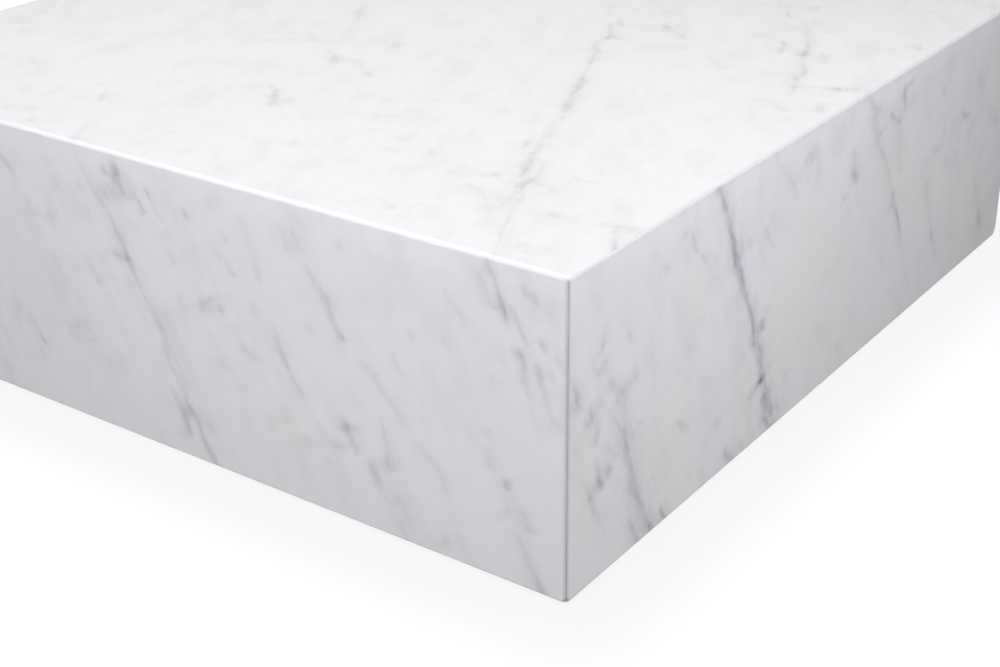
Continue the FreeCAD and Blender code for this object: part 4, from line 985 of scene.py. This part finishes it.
def metal(name, pale, dark, rough):
    """Zinc-plated steel: bright patches, a cloudy passivated film and turning marks."""
    T = Tree(name)
    at = T.scale(T.co, 1000.0)
    spangle = T.voronoi(at, scale=0.35).outputs["Distance"]
    film = T.noise(at, scale=0.12, detail=3.0, rough=0.6)[0]
    x, y, z = T.split(at)
    turn = T.noise(T.xyz(T.math("MULTIPLY", x, 0.08), T.math("MULTIPLY", y, 0.08), T.math("MULTIPLY", z, 6.0)), detail=1.0)[0]
    mixer = T.math("ADD", T.math("MULTIPLY", film, 0.7), T.math("MULTIPLY", spangle, 0.3), clamp=True)
    T.put(T.bsdf.inputs["Base Color"], T.mix(mixer, dark, pale))
    T.set(Metallic=1.0)
    T.put(T.bsdf.inputs["Roughness"], T.math("ADD", T.math("MULTIPLY_ADD", turn, 0.12, rough), T.math("MULTIPLY", film, 0.12)))
    T.bump(turn, 0.12, 0.0003)
    return T.mat


def adhesive():
    """Flexible adhesive: off-white, skinned over, faintly wrinkled."""
    T = Tree("panel_adhesive")
    at = T.scale(T.co, 1000.0)
    n = T.noise(at, scale=0.12, detail=3.0, rough=0.6)[0]
    skin = T.noise(at, scale=0.7, detail=2.0, dist=0.5)[0]
    T.put(T.bsdf.inputs["Base Color"], T.mix(n, (0.60, 0.58, 0.52), (0.74, 0.72, 0.66)))
    T.put(T.bsdf.inputs["Roughness"], T.math("MULTIPLY_ADD", skin, 0.3, 0.35))
    T.bump(skin, 0.5, 0.0008)
    return T.mat


def nylon():
    """Moulded black nylon: fine spark texture, greyed in patches by scuffs."""
    T = Tree("black_nylon")
    at = T.scale(T.co, 1000.0)
    spark = T.noise(at, scale=2.2, detail=2.0, rough=0.6)[0]
    wear = T.noise(at, scale=0.16, detail=3.0, rough=0.65)[0]
    T.put(T.bsdf.inputs["Base Color"], T.mix(T.ramp(wear, 0.5, 0.8), (0.022, 0.022, 0.024), (0.060, 0.060, 0.062)))
    T.put(T.bsdf.inputs["Roughness"], T.math("MULTIPLY_ADD", wear, 0.3, 0.36))
    T.bump(spark, 0.3, 0.0002)
    return T.mat


def felt():
    """Needled wool felt."""
    T = Tree("felt")
    at = T.scale(T.co, 1000.0)
    hair = T.noise(T.vec("MULTIPLY", at, (1.0, 0.35, 0.6)), scale=1.6, detail=3.0, rough=0.7, dist=2.0)[0]
    clump = T.noise(at, scale=0.25, detail=2.0)[0]
    mixed = T.math("ADD", T.math("MULTIPLY", hair, 0.65), T.math("MULTIPLY", clump, 0.35))
    T.put(T.bsdf.inputs["Base Color"], T.mix(T.ramp(mixed, 0.3, 0.7), (0.10, 0.10, 0.105), (0.26, 0.26, 0.265)))
    T.set(Roughness=0.95)
    T.set(Sheen_Weight=0.35, Sheen_Roughness=0.6)
    T.bump(mixed, 0.8, 0.0012)
    return T.mat


mats = {name: marble(name, spec) for name, spec in SLABS.items()}
zinc = metal("zinc_screw", (0.72, 0.71, 0.70), (0.50, 0.49, 0.48), 0.28)
insert_zinc = metal("zinc_insert", (0.70, 0.68, 0.60), (0.48, 0.46, 0.40), 0.32)
spindle_zinc = metal("zinc_spindle", (0.74, 0.74, 0.74), (0.52, 0.52, 0.53), 0.22)
shared = {"offcut": offcut(), "resin": resin(), "top_resin": top_resin(), "adhesive": adhesive(), "nylon": nylon(), "felt": felt(),
          "board": birch("board", "z", "x"), "rail_x": birch("rail_x", "y", "x"), "rail_y": birch("rail_y", "x", "y")}


def finish_of(node):
    if node in mats:
        return mats[node]
    if node == "top_joint_resin":
        return shared["top_resin"]
    if node.startswith("corner_joint_resin"):
        return shared["resin"]
    if node.startswith("corner_block"):
        return shared["offcut"]
    if node in ("top_board", "base_board"):
        return shared["board"]
    if node.endswith(("_rail", "_rib")):
        return shared["rail_x" if node.split("_")[0] in ("front", "back") else "rail_y"]
    if node.endswith("screws"):
        return zinc
    if node.endswith("adhesive_dabs"):
        return shared["adhesive"]
    if node.startswith("glide_insert"):
        return insert_zinc
    if node.startswith("glide_spindle"):
        return spindle_zinc
    if node.startswith("glide_foot"):
        return shared["nylon"]
    if node.startswith("glide_sole"):
        return shared["felt"]
    raise ValueError(node)


for node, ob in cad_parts.items():
    ob.data.materials.clear()
    ob.data.materials.append(finish_of(node))
    for p in ob.data.polygons:
        p.material_index = 0

# ---------------------------------------------------------------- floor, surroundings and light
verts, faces = [], []
rings, sides = (0.0, 0.7, 1.5, 3.0, 6.0, 14.0), 48
verts.append((0.0, 0.0, 0.0))
for r in rings[1:]:
    for i in range(sides):
        a = 2 * math.pi * i / sides
        verts.append((r * math.cos(a), r * math.sin(a), 0.0))
for i in range(sides):
    faces.append((0, 1 + i, 1 + (i + 1) % sides))
for k in range(len(rings) - 2):
    for i in range(sides):
        a, b = 1 + k * sides + i, 1 + k * sides + (i + 1) % sides
        faces.append((a, a + sides, b + sides, b))
floor_mesh = bpy.data.meshes.new("floor")
floor_mesh.from_pydata(verts, [], faces)
floor = bpy.data.objects.new("floor", floor_mesh)
scene.collection.objects.link(floor)

FLOOR_BOUNCE = 0.06
F = Tree("floor_sweep")
F.nt.nodes.remove(F.bsdf)
path = F.new("ShaderNodeLightPath")
seen = F.new("ShaderNodeEmission")
seen.inputs["Color"].default_value = (1.0, 1.0, 1.0, 1.0)
fx, fy, fz = F.split(F.co)
out_x = F.math("MAXIMUM", F.math("SUBTRACT", F.math("ABSOLUTE", fx), 0.45), 0.0)
out_y = F.math("MAXIMUM", F.math("SUBTRACT", F.math("ABSOLUTE", fy), 0.45), 0.0)
apart = F.math("SQRT", F.math("ADD", F.math("MULTIPLY", out_x, out_x), F.math("MULTIPLY", out_y, out_y)))
# painted shadow: the floor's glow is dimmed from 0.995 to 0.872 within 0.15 m of the table, a shadow painted round its
# foot
F.put(seen.inputs["Strength"], F.ramp(apart, 0.03, 0.15, 0.872, 0.995))
shade = F.new("ShaderNodeBsdfDiffuse")
shade.inputs["Color"].default_value = (0.07, 0.07, 0.068, 1.0)
both = F.new("ShaderNodeAddShader")
F.nt.links.new(seen.outputs[0], both.inputs[0])
F.nt.links.new(shade.outputs[0], both.inputs[1])
bounce = F.new("ShaderNodeBsdfDiffuse")
bounce.inputs["Color"].default_value = (FLOOR_BOUNCE, FLOOR_BOUNCE, FLOOR_BOUNCE, 1.0)
pick = F.new("ShaderNodeMixShader")
F.nt.links.new(path.outputs["Is Camera Ray"], pick.inputs[0])
F.nt.links.new(bounce.outputs[0], pick.inputs[1])
F.nt.links.new(both.outputs[0], pick.inputs[2])
F.nt.links.new(pick.outputs[0], F.out.inputs["Surface"])
floor_mesh.materials.append(F.mat)

world = bpy.data.worlds.new("studio")
scene.world = world
world.use_nodes = True
wt = world.node_tree
wt.nodes.clear()
w_out = wt.nodes.new("ShaderNodeOutputWorld")
w_seen = wt.nodes.new("ShaderNodeBackground")
w_seen.inputs["Strength"].default_value = 1.0
w_gloss = wt.nodes.new("ShaderNodeBackground")
w_gloss.inputs["Color"].default_value = (0.62, 0.62, 0.63, 1.0)
w_fill = wt.nodes.new("ShaderNodeBackground")
w_fill.inputs["Color"].default_value = (0.0, 0.0, 0.0, 1.0)
w_path = wt.nodes.new("ShaderNodeLightPath")
w_a, w_b = wt.nodes.new("ShaderNodeMixShader"), wt.nodes.new("ShaderNodeMixShader")
wt.links.new(w_path.outputs["Is Glossy Ray"], w_a.inputs[0])
wt.links.new(w_fill.outputs[0], w_a.inputs[1])
wt.links.new(w_gloss.outputs[0], w_a.inputs[2])
wt.links.new(w_path.outputs["Is Camera Ray"], w_b.inputs[0])
wt.links.new(w_a.outputs[0], w_b.inputs[1])
wt.links.new(w_seen.outputs[0], w_b.inputs[2])
wt.links.new(w_b.outputs[0], w_out.inputs["Surface"])
w_seen.inputs["Color"].default_value = (1.0, 1.0, 1.0, 1.0)

LIGHTS = {
    "over_wide": ((0, -0.2, 1.5), (0, 0, 0.28), 2.2, 2.2, 23.1, (1.0, 1.003, 0.994)),
    "over_left": ((-1.6, -0.8, 2.2), (0, 0, 0), 2.4, 2.4, 18.3, (1.0, 1.0, 1.0)),
    "low_front": ((0, -2.6, 0.45), (0, 0, 0.2), 2.4, 0.8, 26.7, (1.0, 0.998, 1.0)),
    "low_right": ((2.6, 0, 0.45), (0, 0, 0.2), 2.4, 0.8, 16.4, (1.002, 1.0, 0.99)),
    "low_right_near": ((2.6, -0.8, 0.6), (0.45, -0.2, 0.2), 1.6, 0.8, 10.4, (1.002, 1.0, 0.99)),
    "low_back": ((0, 2.6, 0.16), (0, 0, 0.16), 0.85, 0.22, 26.0, (1.0, 1.0, 1.0)),
    "low_left": ((-2.6, 0, 0.16), (0, 0, 0.16), 0.85, 0.22, 25.0, (1.0, 1.0, 1.0)),
    "back_right": ((1.5, 0.6, 1.6), (0.45, 0.1, 0.25), 0.9, 0.6, 4.9, (1.0, 1.0, 1.0)),
    "front_spot": ((0.3, -1.0, 0.5), (0.3, -0.45, 0.26), 0.4, 0.25, 0.7, (1.0, 1.0, 1.0)),
    "right_spot": ((1.0, -0.2, 0.5), (0.45, -0.2, 0.26), 0.4, 0.25, 1.05, (1.0, 1.0, 1.0)),
}
for name, (at, to, sx, sy, watts, colour) in LIGHTS.items():
    lamp = bpy.data.lights.new(name, "AREA")
    lamp.shape = "RECTANGLE"
    lamp.size, lamp.size_y, lamp.energy, lamp.color = sx, sy, watts, colour
    lamp_ob = bpy.data.objects.new(name, lamp)
    lamp_ob.location = at
    lamp_ob.rotation_mode = "QUATERNION"
    lamp_ob.rotation_quaternion = (Vector(to) - Vector(at)).to_track_quat("-Z", "Y")
    lamp_ob.visible_camera = False
    lamp_ob.visible_glossy = name.startswith("over_")
    scene.collection.objects.link(lamp_ob)
